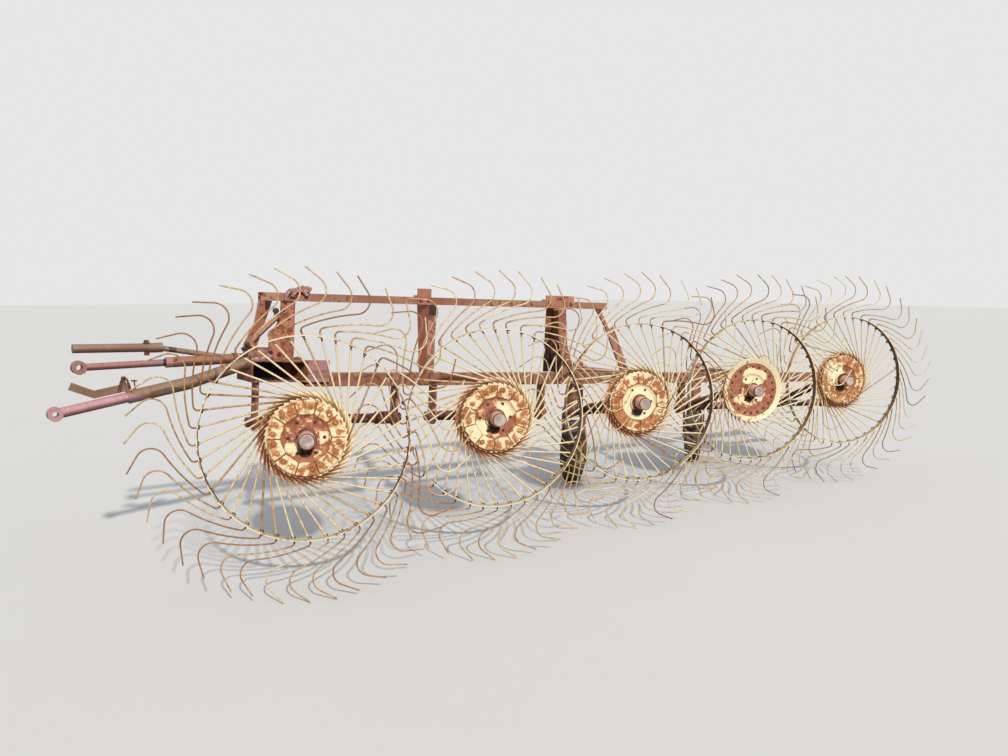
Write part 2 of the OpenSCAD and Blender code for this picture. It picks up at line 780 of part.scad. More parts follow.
module upper_tube() {
    color(oxide) from_eye() difference() {
        before_head() rod(high_mouth, high_root, high_tube_r);
        rod(high_mouth - (pole_inside + slide_in) * high_run, high_mouth + high_run,
            high_pole_r + slide_gap);
    }
}

// A sliding pole ends in an eye whose bore lies across the frame.
module sliding_pole(mouth, end, r) {
    run = unit(end - mouth);
    color(faded) from_eye() difference() {
        union() {
            rod(mouth - pole_inside * run, end - (eye_r + eye_bore) / 2 * run, r);
            translate(end) rotate([90, 0, 0]) cylinder(r = eye_r, h = eye_w, center = true);
        }
        translate(end) rotate([90, 0, 0]) cylinder(r = eye_bore, h = 2 * eye_w, center = true);
    }
}

module brace_pole() {
    color(oxide) from_eye() {
        before_head() rod(brace_mid, brace_root, brace_r);
        rod(brace_mid + [brace_collar / 3, 0, 0], brace_end, sleeve_r);
        rod(brace_mid + [brace_collar / 3, 0, 0], brace_mid - [brace_collar * 2 / 3, 0, 0], collar_r);
    }
}

lower_beam();
top_beam();
inner_gusset();
middle_post();
outer_post();
outer_strut();
stay(beam_y - stay_gap / 2);  // front_stay
stay(beam_y + stay_gap / 2);  // rear_stay
adjusting_rod();
coupling_head();
top_clamps();
shaft_hangers();
relief_springs();
outrigger(0);  // inner_outrigger
outrigger(1);  // outer_outrigger
lower_tube();
upper_tube();
brace_pole();
sliding_pole(low_mouth, eye, low_pole_r);  // lower_pole
sliding_pole(high_mouth, high_end, high_pole_r);  // upper_pole
castor_fork(0);  // inner_castor_fork
castor_fork(1);  // outer_castor_fork
castor_rim(0);  // inner_castor_rim
castor_rim(1);  // outer_castor_rim
castor_tyre(0);  // inner_castor_tyre
castor_tyre(1);  // outer_castor_tyre
for (i = wheel_ids) {
    crank(i);
    hub(i);
    hoop(i);
    fingers(i);
}
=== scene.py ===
"""Looks of a finger-wheel hay rake section: wire fingers, pressed hubs, springs, bolts and old paint."""

import math

import bpy
import numpy as np
from mathutils import Matrix, Vector


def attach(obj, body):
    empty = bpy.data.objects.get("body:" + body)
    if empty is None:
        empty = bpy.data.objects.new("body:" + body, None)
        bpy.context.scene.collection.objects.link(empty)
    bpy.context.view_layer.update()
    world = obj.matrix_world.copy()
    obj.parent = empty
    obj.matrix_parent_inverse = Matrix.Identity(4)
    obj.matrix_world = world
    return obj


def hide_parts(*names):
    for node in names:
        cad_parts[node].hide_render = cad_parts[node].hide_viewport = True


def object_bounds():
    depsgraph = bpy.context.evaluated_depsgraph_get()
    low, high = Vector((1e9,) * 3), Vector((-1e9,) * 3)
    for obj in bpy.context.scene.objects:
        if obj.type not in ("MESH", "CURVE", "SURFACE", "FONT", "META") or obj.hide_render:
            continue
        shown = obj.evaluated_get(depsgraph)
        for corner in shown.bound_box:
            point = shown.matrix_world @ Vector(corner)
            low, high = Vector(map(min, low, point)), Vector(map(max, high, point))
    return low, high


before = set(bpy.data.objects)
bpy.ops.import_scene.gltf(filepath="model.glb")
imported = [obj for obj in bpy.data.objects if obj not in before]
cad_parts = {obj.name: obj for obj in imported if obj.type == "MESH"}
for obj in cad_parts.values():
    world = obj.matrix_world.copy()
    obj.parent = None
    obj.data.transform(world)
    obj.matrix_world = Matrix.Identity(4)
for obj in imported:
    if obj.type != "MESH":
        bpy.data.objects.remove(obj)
cad_box = [list(corner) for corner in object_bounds()]
rng = np.random.default_rng(7)

# Sizes of the part: lengths in metres, angles in radians and headings in degrees.
# Gang coordinates run from the first hub's foot on the ground.
EYE = np.array([-0.893, 0.560, 0.860])
SEAT = 0.0003
BEAM_Y = 0.580
BEAM_Z = 0.951
BEAM_HALF = 0.034
DIP = math.radians(3.3)
TOP_RISE = 0.406
TOP_TILT = math.tan(math.radians(1.4))
TOP_HALF = 0.020
CLAMP_T = 0.009
STAY_FRONT = BEAM_Y - 0.014 - 0.005
ROD_Y = STAY_FRONT - 0.011 - SEAT
WHEELS = 5
PITCH = 1.015
SKEW = math.radians(22.2)
HOOP_R = 0.450
FINGERS = 40
FINGER_R = 0.0043
ROOT_R = 0.170
ROOT_GAP = 0.052
OVERRUN = 0.012
KINK_R, KINK_HEADING = 0.020, 22.0
SWEEP_R, SWEEP_HEADING = 0.740, 4.0
HOOK_R, TIP_HEADING = 0.062, 122.0
TIP_LEN = 0.085
FRONT = 0.0043
SHEET = 0.004
PLATE_TOP = FRONT + SHEET
DISH_FLOOR = -FRONT + 0.0005
DISH_R = 0.110
DISC_R = 0.167
BACK_R = 0.205
AXLE_R = 0.035
STUB = 0.095
SHAFT_DROP = 0.208
SHAFT_R = 0.025
HANGER_LEAD = 0.008
HANGER_GAP = 0.773
PLATE = 0.012
CREASES = 10
RIVETS = 2 * CREASES
TURNED = 3
HOLES, HOLE_R, HOLE_AT = 6, 0.008, 0.078
GUSSET_HOLES = ((0.123, 0.341), (0.105, 0.125))
INNER_CASTOR, OUTER_CASTOR = 2.620, 3.900
TYRE_R, TYRE_W, RIM_R = 0.225, 0.120, 0.140
CASTOR_Y, TRAIL = 1.200, 0.110
TRAVEL = math.radians(35)


def gang(x, y, z):
    """A point of the gang in the part's own frame."""
    return np.array([x, y, z], float) - EYE


def on_line(x, y, z):
    """A point given along the dipping frame and above the lower beam's middle."""
    return gang(x * math.cos(DIP) + z * math.sin(DIP), y, BEAM_Z - x * math.sin(DIP) + z * math.cos(DIP))


LINE_X = on_line(1, 0, 0) - on_line(0, 0, 0)
LINE_Z = on_line(0, 0, 1) - on_line(0, 0, 0)
ACROSS = np.array([0.0, 1.0, 0.0])
UP = np.array([0, 0, 1.0])


def heading(deg):
    """Unit vectors of headings in degrees: the cosine and the sine."""
    return np.stack([np.cos(np.radians(deg)), np.sin(np.radians(deg))], -1)


def left_of(deg):
    """Unit vectors a quarter turn to the left of the headings: minus the sine and the cosine."""
    return np.stack([-np.sin(np.radians(deg)), np.cos(np.radians(deg))], -1)


def arc(middle, radius, start, end, steps, side):
    """Points of an arc whose headings run evenly from start to end, without its first point."""
    angles = np.linspace(start, end, steps + 1)[1:]
    return middle + side * radius * left_of(angles)


# Points on each stretch of a finger: straight root, kink, long sweep, hook and straight tip.
ROOT_STEPS, KINK_STEPS, SWEEP_STEPS, HOOK_STEPS, TIP_STEPS = 20, 7, 10, 12, 6


def finger_path():
    """The part's finger path in the wheel's plane, [x, y]: straight root to the hoop, then arcs and a tip."""
    root_heading = 180 - math.degrees(math.acos(ROOT_R / HOOP_R))
    cross = np.array([0.0, HOOP_R])
    root = cross - (math.sqrt(HOOP_R**2 - ROOT_R**2) - ROOT_GAP) * heading(root_heading)
    bend = cross + OVERRUN * heading(root_heading)
    straight = root + np.linspace(0, 1, ROOT_STEPS)[:, None] * (bend - root)
    kink_mid = bend - KINK_R * left_of(root_heading)
    kink = arc(kink_mid, KINK_R, root_heading, KINK_HEADING, KINK_STEPS, 1)
    sweep_mid = kink[-1] - SWEEP_R * left_of(KINK_HEADING)
    sweep = arc(sweep_mid, SWEEP_R, KINK_HEADING, SWEEP_HEADING, SWEEP_STEPS, 1)
    hook_mid = sweep[-1] + HOOK_R * left_of(SWEEP_HEADING)
    hook = arc(hook_mid, HOOK_R, SWEEP_HEADING, TIP_HEADING, HOOK_STEPS, -1)
    tip = hook[-1] + np.linspace(0, 1, TIP_STEPS + 1)[1:, None] * TIP_LEN * heading(TIP_HEADING)
    return np.concatenate([straight, kink, sweep, hook, tip])


PATH = finger_path()
TIP_EDGE = PATH[-1] - FINGER_R * left_of(TIP_HEADING)
HUB_Z = float(np.hypot(*TIP_EDGE))
TIP_ANGLE = math.degrees(math.atan2(TIP_EDGE[1], TIP_EDGE[0]))
FINGER_TURNS = np.radians(-90 - TIP_ANGLE + np.arange(FINGERS) * 360 / FINGERS)
HUB_CENTRES = [gang(i * PITCH, 0, HUB_Z) for i in range(WHEELS)]
IN_PLANE = np.array([math.cos(SKEW), -math.sin(SKEW), 0])
AXLE = np.array([-math.sin(SKEW), -math.cos(SKEW), 0])
WHEEL_AXES = np.array([IN_PLANE, UP, AXLE])


def on_wheel(i, points):
    """Points given in wheel i's plane and along its axle, in the part's frame."""
    return HUB_CENTRES[i] + np.asarray(points, float) @ WHEEL_AXES


def unit(v):
    """Vectors divided by their own lengths."""
    v = np.asarray(v, float)
    return v / np.linalg.norm(v, axis=-1, keepdims=True)


def bell(distance, width):
    """A bell over distance: 1 at none, falling as e to minus the square of distance over width."""
    return np.exp(-((distance / width) ** 2))


def ramp(value, length):
    """A straight rise from 0 to 1 as value runs from none to length."""
    return np.clip(value / length, 0, 1)


class Shell:
    """Points and faces gathered from several forms, made into one mesh at the end."""

    def __init__(self):
        self.points, self.faces, self.marks, self.count = [], [], [], 0

    def add(self, points, faces, mark=0.0):
        """Takes in points (n, 3) and index arrays of faces; mark is a number per point for materials."""
        points = np.asarray(points, float).reshape(-1, 3)
        self.points.append(points)
        self.faces += [np.asarray(f) + self.count for f in faces]
        self.marks.append(np.broadcast_to(np.asarray(mark, float), (len(points),)).copy())
        self.count += len(points)

    def rods(self, paths, radius, ref, sides=8, turn=0.0, straight=False, mark=0.0, closed=False, wide=1.0):
        """Rods along paths, with capped ends, or closed rings without ends.

        At every station lies a circle square to the path: radius times cosine towards ref, drawn out by wide,
        plus radius times sine square to both. Straight sets all circles square to the line from end to end.
        """
        paths = np.asarray(paths, float)
        paths = paths[None] if paths.ndim == 2 else paths
        many, steps = paths.shape[:2]
        if straight:
            along = np.broadcast_to(unit(paths[:, -1] - paths[:, 0])[:, None], paths.shape)
        elif closed:
            along = unit(np.roll(paths, -1, 1) - np.roll(paths, 1, 1))
        else:
            along = unit(np.gradient(paths, axis=1))
        ref = np.asarray(ref, float)
        ref = np.broadcast_to(ref[:, None] if ref.ndim == 2 else ref, paths.shape)
        one = unit(ref - (ref * along).sum(-1, keepdims=True) * along)
        two = np.cross(along, one)
        angle = turn + np.arange(sides) * 2 * math.pi / sides
        radius = np.broadcast_to(np.asarray(radius, float), (many, steps))[..., None, None]
        ring = one[:, :, None] * (wide * np.cos(angle))[:, None] + two[:, :, None] * np.sin(angle)[:, None]
        points = paths[:, :, None] + radius * ring
        index = np.arange(many * steps * sides).reshape(many, steps, sides)
        near, far = (index, np.roll(index, -1, 1)) if closed else (index[:, :-1], index[:, 1:])
        quads = np.stack([near, np.roll(near, -1, 2), np.roll(far, -1, 2), far], -1).reshape(-1, 4)
        ends = [] if closed else [index[:, 0, ::-1], index[:, -1]]
        mark = np.broadcast_to(np.asarray(mark, float), (many, steps))
        self.add(points, [quads] + ends, np.repeat(mark.reshape(-1), sides))

    def ring_grid(self, points, mark=0.0):
        """A grid of points that closes on itself both ways, turned to look outwards by its volume's sign."""
        points = np.asarray(points, float)
        rows, cols = points.shape[:2]
        index = np.arange(rows * cols).reshape(rows, cols)
        down, side = np.roll(index, -1, 0), np.roll(index, -1, 1)
        both_ways = np.roll(down, -1, 1)
        quads = np.stack([index, side, both_ways, down], -1).reshape(-1, 4)
        flat = points.reshape(-1, 3)
        centred = flat - flat.mean(0)
        a, b, c, d = (centred[quads[:, k]] for k in range(4))
        volume = (np.cross(a, b) * c).sum() + (np.cross(a, c) * d).sum()
        self.add(flat, [quads if volume > 0 else quads[:, ::-1]], mark)

    def bolts(self, places, axes, size, height, washer=1.45):
        """Hexagon heads on round washers: short straight rods that stand on places and point along axes."""
        places, axes = np.atleast_2d(places), np.atleast_2d(axes)
        axes = unit(np.broadcast_to(axes, places.shape))
        size = np.broadcast_to(np.asarray(size, float), (len(places),))
        ref = np.where(np.abs(axes[:, 2:]) > 0.8, [[1.0, 0, 0]], [UP])
        for levels, widths, sides in (
            ([-0.1, 0.16, 0.2], [washer, washer, washer * 0.93], 14),
            ([0.16, 0.85, 1.0], [1.0, 1.0, 0.84], 6),
        ):
            levels, widths = np.array(levels), np.array(widths)
            path = places[:, None] + axes[:, None] * (levels * height)[None, :, None]
            self.rods(path, size[:, None] * widths, ref, sides, straight=True)


def piece(name, shell, material, body, replaces=(), sharp=35):
    """Makes the shell's mesh an object at the origin that rides on a body and may stand for CAD nodes."""
    mesh = bpy.data.meshes.new(name)
    points = np.concatenate(shell.points)
    sizes = np.concatenate([np.full(len(f), f.shape[1]) for f in shell.faces])
    loops = np.concatenate([f.reshape(-1) for f in shell.faces])
    mesh.vertices.add(len(points))
    mesh.vertices.foreach_set("co", points.reshape(-1))
    mesh.loops.add(len(loops))
    mesh.loops.foreach_set("vertex_index", loops.astype(np.int32))
    mesh.polygons.add(len(sizes))
    mesh.polygons.foreach_set("loop_start", np.concatenate([[0], np.cumsum(sizes)[:-1]]).astype(np.int32))
    mesh.update(calc_edges=True)
    mesh.validate()
    mark = mesh.attributes.new("mark", "FLOAT", "POINT")
    mark.data.foreach_set("value", np.concatenate(shell.marks))
    mesh.shade_smooth()
    mesh.set_sharp_from_angle(angle=math.radians(sharp))
    obj = bpy.data.objects.new(name, mesh)
    bpy.context.scene.collection.objects.link(obj)
    mesh.materials.append(material)
    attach(obj, body)
    if replaces:
        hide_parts(*replaces)


def colour(text):
    """A screen colour as linear red, green, blue and a full alpha."""
    parts = [int(text[k : k + 2], 16) / 255 for k in (1, 3, 5)]
    return [c / 12.92 if c <= 0.04045 else ((c + 0.055) / 1.055) ** 2.4 for c in parts] + [1.0]


class Finish:
    """A material's node tree, with short calls for the nodes that the finishes share."""

    def __init__(self, name):
        self.material = bpy.data.materials.new(name)
        self.material.use_nodes = True
        self.tree = self.material.node_tree
        self.shader = self.tree.nodes["Principled BSDF"]
        self.place = self.node("ShaderNodeTexCoord").outputs["Object"]

    def node(self, kind, settings=None, inputs=None):
        """A new node with its settings, and with its inputs set or linked."""
        made = self.tree.nodes.new(kind)
        for key, value in (settings or {}).items():
            setattr(made, key, value)
        for key, value in (inputs or {}).items():
            self.put(made.inputs[key], value)
        return made

    def put(self, socket, value):
        """Links a socket to a value that is a socket, or sets it."""
        if isinstance(value, bpy.types.NodeSocket):
            self.tree.links.new(value, socket)
        else:
            socket.default_value = value

    def noise(self, scale, detail=4.0, rough=0.55, place=None, bend=0.0):
        """Noise from 0 to 1 over the place, bent by a distortion."""
        inputs = {"Vector": place or self.place, "Scale": scale, "Detail": detail, "Roughness": rough}
        inputs["Distortion"] = bend
        return self.node("ShaderNodeTexNoise", None, inputs).outputs[0]

    def stretched(self, x, y, z):
        """The place, drawn out by a factor along each axis."""
        return self.node("ShaderNodeMapping", None, {"Vector": self.place, "Scale": (x, y, z)}).outputs[0]

    def maths(self, kind, a, b):
        """One step of arithmetic on two numbers, each a socket or a value."""
        return self.node("ShaderNodeMath", {"operation": kind}, {0: a, 1: b}).outputs[0]

    def add(self, a, b):
        return self.maths("ADD", a, b)

    def less(self, a, b):
        return self.maths("SUBTRACT", a, b)

    def times(self, a, b):
        return self.maths("MULTIPLY", a, b)

    def step(self, value, low, high, bottom=0.0, top=1.0):
        """Smooth step of value from bottom at low to top at high."""
        inputs = {"Value": value, "From Min": low, "From Max": high, "To Min": bottom, "To Max": top}
        return self.node("ShaderNodeMapRange", {"interpolation_type": "SMOOTHSTEP"}, inputs).outputs[0]

    def mix(self, share, a, b, kind="MIX"):
        """Colour a, with as much of colour b as share says."""
        a, b = (colour(c) if isinstance(c, str) else c for c in (a, b))
        made = self.node("ShaderNodeMix", {"data_type": "RGBA", "blend_type": kind}, {0: share, 6: a, 7: b})
        return made.outputs[2]

    def vector(self, kind, a, b):
        """A node of vector arithmetic on a and b, each a socket or a point."""
        a, b = (v if isinstance(v, bpy.types.NodeSocket) else tuple(v) for v in (a, b))
        return self.node("ShaderNodeVectorMath", {"operation": kind}, {0: a, 1: b})

    def height_of(self, normal):
        """The third coordinate of a normal: -1 looks down, 1 looks up."""
        return self.node("ShaderNodeSeparateXYZ", None, {0: normal}).outputs[2]

    def upward(self):
        """How far the surface looks up, from 0 below to 1 on top."""
        return self.step(self.height_of(self.node("ShaderNodeNewGeometry").outputs["Normal"]), -0.6, 0.9)

    def mark(self):
        """The number that the shell gave to the place."""
        return self.node("ShaderNodeAttribute", {"attribute_name": "mark"}).outputs["Fac"]

    def distance(self, centre):
        """Distance of the surface from a point, in metres."""
        return self.vector("DISTANCE", self.place, centre).outputs["Value"]

    def along(self, origin, axis):
        """How far the surface lies from a point along an axis, in metres."""
        off = self.vector("SUBTRACT", self.place, origin)
        return self.vector("DOT_PRODUCT", off.outputs[0], axis).outputs["Value"]

    def finish(self, tint, rough, height=None, strength=0.4, depth=0.002):
        """Gives the shader its colour and roughness, and a bump from the height."""
        self.put(self.shader.inputs["Base Color"], tint)
        self.put(self.shader.inputs["Roughness"], rough)
        if height is not None:
            inputs = {"Strength": strength, "Distance": depth, "Height": height}
            self.put(self.shader.inputs["Normal"], self.node("ShaderNodeBump", None, inputs).outputs[0])
        return self.material


# Masks for touches: each is a function of a finish that gives a share from 0 to 1.
def near(point, size):
    """A ragged spot round a point."""

    def mask(f):
        ragged = f.add(f.distance(point), f.times(f.noise(90), size * 0.9))
        return f.step(ragged, size * 1.45, size * 1.1)

    return mask


def past(origin, axis, low, high):
    """From none at low to full at high along an axis."""
    return lambda f: f.step(f.along(origin, axis), low, high)


def past_x(x, low, high):
    """From none at low to full at high beyond x on the frame's line; with high below low, the other way."""
    return past(on_line(x, 0, 0), LINE_X, low, high)


def past_z(z, low, high):
    """From none at low to full at high over z above the frame's line; with high below low, the other way."""
    return past(on_line(0, 0, z), LINE_Z, low, high)


def both(one, *others):
    """Where all masks are full."""
    if not others:
        return one
    return lambda f: f.times(one(f), both(*others)(f))


def weathered(name, paint, chalk, rust, dark, cover, touches=(), shade=0.35):
    """Old paint: chalky on top, flaked in patches down to rust, streaked downwards, and darkened on faces
    that look down as painted shade.

    It is bare where noise passes cover; touches lists a mask, a share and a colour each.
    """
    f = Finish(name)
    broad = f.noise(3.5, 3.0)
    patch = f.noise(24, 9.0, 0.62, bend=0.35)
    grit = f.noise(330, 3.0, 0.7)
    streak = f.noise(1.0, 4.0, 0.6, place=f.stretched(70, 70, 9))
    up = f.upward()
    tone = f.mix(f.step(f.add(broad, f.times(up, 0.35)), 0.42, 0.85), paint, chalk)
    tone = f.mix(f.step(streak, 0.42, 0.75, 0.0, 0.45), tone, rust)
    flake = f.add(f.add(patch, f.times(broad, 0.45)), f.times(streak, 0.12))
    bare = f.step(flake, cover, cover + 0.07)
    oxide = f.mix(f.step(grit, 0.3, 0.7), dark, rust)
    tint = f.mix(bare, tone, oxide)
    for mask, share, coat in touches:
        tint = f.mix(f.times(mask(f), share), tint, coat)
    # Painted shade: faces that look down are darkened, by as much as shade says.
    tint = f.mix(f.step(up, 0.45, 0.0, 0.0, shade), tint, "#1d1310", "MULTIPLY")
    height = f.add(f.times(bare, -0.6), f.times(grit, 0.5))
    return f.finish(tint, f.step(bare, 0, 1, 0.58, 0.9), height, 0.45, 0.0015)


def wire_finish(name):
    """Wire from cream through straw and rust to dark brown: mark tells how rusty each place is."""
    f = Finish(name)
    patch = f.noise(55, 5.0, 0.6)
    fine = f.noise(240, 3.0, 0.7)
    wear = f.add(f.mark(), f.times(f.less(patch, 0.5), 1.1))
    wear = f.add(wear, f.times(f.less(fine, 0.5), 0.35))
    tint = f.mix(f.step(wear, 0.08, 0.36), f.mix(fine, "#f9ecc8", "#e3cb9a"), "#cba877")
    tint = f.mix(f.step(wear, 0.38, 0.64), tint, "#a27148")
    tint = f.mix(f.step(wear, 0.72, 1.05), tint, "#683c28")
    return f.finish(tint, f.step(wear, 0.2, 0.7, 0.5, 0.85), fine, 0.2, 0.0006)


def hub_finish(i, flange, dish, blobs):
    """Cream flaked off rust, with stains and dark seams where mark says so.

    flange and dish are how bare each zone is. blobs lists painted or bare spots, each as an angle, a radius,
    a size and an amount. An edge is given by the distances at which the step over it starts and ends.
    """
    dish_edge, rim_edge, boss_edge, grease_and_shadow_edge = (0.099, 0.106), (0.170, 0.176), (0.052, 0.047), (0.050, 0.041)
    turned = i == TURNED
    f = Finish("hub_flaked_%d" % (i + 1))
    away = f.distance(HUB_CENTRES[i])
    patch = f.noise(30, 7.0, 0.6, bend=0.5)
    fine = f.noise(120, 5.0, 0.65)
    spots = f.noise(300, 2.0, 0.7)
    zone = f.step(away, *dish_edge)
    ground = f.add(f.times(patch, 1.3), f.times(fine, 0.35))
    ground = f.add(ground, f.step(zone, 0, 1, dish, flange))
    for angle, radius, size, amount in blobs:
        spot = on_wheel(i, np.append(radius * heading(angle), 0))
        ground = f.add(ground, f.step(f.distance(spot), size * 1.25, size * 0.3, 0.0, amount))
    # The rim is barer on its lower left; the turned hub's wide rim is mostly painted.
    lower_left = -unit(IN_PLANE * 0.82 + UP * 0.57)
    upper_right_bare, lower_left_bare = (-0.6, -0.3) if turned else (-0.3, 0.12)
    side = f.step(f.along(HUB_CENTRES[i], lower_left), -0.20, 0.20, upper_right_bare, lower_left_bare)
    ground = f.add(ground, f.times(f.step(away, *rim_edge), side))
    seam = f.mark()
    ground = f.add(ground, f.times(seam, 0.50))
    bare = f.step(ground, 0.86, 0.95)
    cream = f.mix(f.step(fine, 0.3, 0.8), "#fcf0cc", "#ecd8a6")
    orange = 0.0 if turned else zone
    light = f.mix(orange, "#b67258", "#d08d58")
    deep = f.mix(orange, "#96573f", "#a8633e")
    rust = f.mix(f.step(f.add(patch, f.times(fine, 0.5)), 0.62, 0.92), light, deep)
    rust = f.mix(f.step(spots, 0.55, 0.7, 0.0, 0.4), rust, "#5c2c1a")
    rust = f.mix(f.step(f.noise(170, 3.0, 0.6), 0.58, 0.68, 0.0, 0.55), rust, "#eed3a0")
    rust = f.mix(f.step(away, *boss_edge, 0.0, 0.8), rust, "#b98a84")
    tint = f.mix(f.step(ground, 0.76, 0.88), cream, "#dcb07a")
    tint = f.mix(bare, tint, rust)
    tint = f.mix(f.step(seam, 0.50, 0.95, 0.0, 0.88), tint, "#4a2616")
    # Grease and a painted shadow of the axle end darken the dish below it.
    under_axle = on_wheel(i, (-0.006, -0.050, -0.004))
    grease_and_shadow = f.add(f.distance(under_axle), f.times(fine, 0.030))
    tint = f.mix(f.step(grease_and_shadow, *grease_and_shadow_edge, 0.0, 0.96), tint, "#20130d")
    height = f.add(f.times(bare, -0.7), f.times(fine, 0.6))
    return f.finish(tint, f.step(bare, 0, 1, 0.52, 0.88), height, 0.5, 0.0012)


def hoop_finish(i):
    """Flat band: cream with pinkish brown spots and rust along stretches, browner on its inner face, partly
    as rust and partly as painted shade.
    """
    f = Finish("hoop_cream_%d" % (i + 1))
    broad = f.noise(4.5, 3.0)
    patch = f.noise(38, 6.0, 0.6)
    fine = f.noise(200, 3.0, 0.7)
    wear = f.add(f.add(patch, f.times(broad, 0.75)), f.times(fine, 0.2))
    tint = f.mix(f.step(wear, 0.96, 1.10), f.mix(fine, "#fbefc9", "#e6d2a2"), "#c0936f")
    tint = f.mix(f.step(wear, 1.10, 1.24), tint, "#7c4a30")
    facing = f.node("ShaderNodeTexCoord").outputs["Normal"]
    outward = f.along(HUB_CENTRES[i], facing)
    # The inner face is browned, partly as rust and partly as painted shade, less where it looks up.
    inner_rust_and_shade = f.times(f.step(outward, -0.20, -0.38), f.step(f.height_of(facing), 0.75, 0.40, 0.25, 0.85))
    tint = f.mix(inner_rust_and_shade, tint, f.mix(f.step(wear, 0.8, 1.1), "#8a5c40", "#4a2a1e"))
    return f.finish(tint, f.step(wear, 0.8, 1.1, 0.5, 0.85), fine, 0.3, 0.001)


def plain_metal(name, light, dark, scale, rough=0.6):
    """Bare metal or a plain coat between two tones, with a fine grain."""
    f = Finish(name)
    broad = f.noise(scale, 6.0, 0.6)
    grain = f.noise(scale * 9, 3.0, 0.7)
    tint = f.mix(f.step(broad, 0.35, 0.68), dark, light)
    return f.finish(tint, f.step(grain, 0.2, 0.8, rough - 0.12, rough + 0.15), grain, 0.3, 0.0008)


def rubber_finish(name):
    """Weathered rubber with dust in the hollows and fine cracks."""
    f = Finish(name)
    dust = f.noise(14, 6.0, 0.6)
    cells = {"Vector": f.place, "Scale": 160.0}
    crack = f.node("ShaderNodeTexVoronoi", {"feature": "DISTANCE_TO_EDGE"}, cells)
    lines = f.step(crack.outputs[0], 0.0, 0.05)
    tint = f.mix(f.step(dust, 0.35, 0.65), "#3f3a35", "#73695a")
    return f.finish(tint, 0.85, f.add(lines, f.times(dust, 0.5)), 0.25, 0.001)


def head_finish(name):
    """The coupling head: faded oxide outside, a pink cheek at its outer end and painted shade in its hollow.
    """
    top, lip, cheek_x, front_y = (0.094, 0.099), (0.094, 0.088), (0.232, 0.242), BEAM_Y - 0.060
    f = Finish(name)
    patch = f.noise(26, 8.0, 0.6, bend=0.3)
    streak = f.noise(1.0, 4.0, 0.6, place=f.stretched(60, 60, 10))
    grit = f.noise(330, 3.0, 0.7)
    run, deep, rise = (f.along(on_line(0, front_y, 0), axis) for axis in (LINE_X, ACROSS, LINE_Z))
    wear = f.add(patch, f.times(streak, 0.4))
    tint = f.mix(f.step(wear, 0.55, 0.8), "#9c6659", "#7e4a38")
    upper_face = f.mix(f.step(patch, 0.35, 0.6), "#b08a6c", "#94604c")
    tint = f.mix(f.step(rise, *top), tint, upper_face)
    cheek = f.mix(f.step(wear, 0.72, 0.86), "#ad7c80", "#94604a")
    tint = f.mix(f.step(run, *cheek_x), tint, cheek)
    # Painted shade: the hollow behind the front lip is darkened nearly to black.
    hollow_shade = f.times(f.step(deep, 0.010, 0.040), f.step(rise, *lip))
    hollow_shade = f.times(hollow_shade, f.times(f.step(run, 0.236, 0.226), f.step(run, -0.050, -0.043)))
    tint = f.mix(f.times(hollow_shade, 0.93), tint, "#140d0b")
    # A slanting strip of the hollow's end catches the sun.
    slant = f.add(run, f.times(rise, 0.55))
    lit = f.times(f.step(slant, 0.212, 0.226), f.step(run, 0.238, 0.234))
    sunny = f.mix(f.step(patch, 0.4, 0.6), "#b9773f", "#8a4f30")
    tint = f.mix(f.times(lit, f.step(rise, 0.093, 0.088)), tint, sunny)
    return f.finish(tint, 0.82, f.add(grit, f.times(patch, 0.6)), 0.4, 0.0012)


# Places where a paint changes. A mouth is a tube's end and a run the way that its pole leaves it.
LOW_MOUTH, LOW_RUN = gang(-0.5999, 0.560, 0.911), np.array([-0.9852, 0, -0.1715])
LOW_UP = np.array([LOW_RUN[2], 0, -LOW_RUN[0]])
HIGH_MOUTH, HIGH_RUN = gang(-0.414, 0.630, 1.052), np.array([-0.9999, 0, -0.0108])
LOW_CUT = LOW_UP - 0.45 * LOW_RUN
LOW_PALE_SPOT, LOW_PALE_SIZE = gang(-0.449, 0.532, 0.966), 0.009
COLLAR_START, COLLAR_END = gang(-0.446, 0, 0), gang(-0.404, 0, 0)
STAY_EDGE, STAY_HEAD = 0.022, 0.340
POST_FACE, POST_NOTCH = 0.936, 0.352
OUTER_BACK, OUTER_SHADE, OUTER_FOOT = 1.909, 0.30, 0.115
INSIDE = past(on_line(0, BEAM_Y - BEAM_HALF, 0), ACROSS, 0.0085, 0.014)
STRUT_SPOTS = ((2.256, 0.440, 0.024), (2.270, 0.415, 0.026), (2.286, 0.390, 0.026), (2.303, 0.364, 0.026),
               (2.318, 0.340, 0.024))
STRUT_FACE = BEAM_Y - 0.006
GUSSET_SPOTS, GUSSET_SPOT_SIZE = ((0.176, 0.334), (0.177, 0.267)), 0.009
SHADE_BLACK, GAP_SHADE, RED_OXIDE = "#16100e", "#1a110d", ("#925843", "#b88a72", "#86472f", "#553024", 0.87)

# Touches: a mask, how much of the coat it lays on at most, and the coat's colour.
# On the front stay: painted shade near the top of its edge, for the shaded hollow between its legs.
STAY_TOUCHES = [(both(past_x(STAY_EDGE, 0.0, 0.005), past_z(STAY_HEAD, -0.008, 0.008)), 0.92, "#1a1110")]
# On the middle post: a brighter orange on the side face, rust and painted light where the sun barely reaches;
# and painted shade at the top of the front face, where the flange is cut away.
POST_TOUCHES = [
    (past_x(POST_FACE, 0.0016, 0.0006), 0.8, "#b8643f"),
    (both(past_x(POST_FACE, 0.0006, 0.0016), past_z(POST_NOTCH, -0.006, 0.006)), 0.92, GAP_SHADE),
]
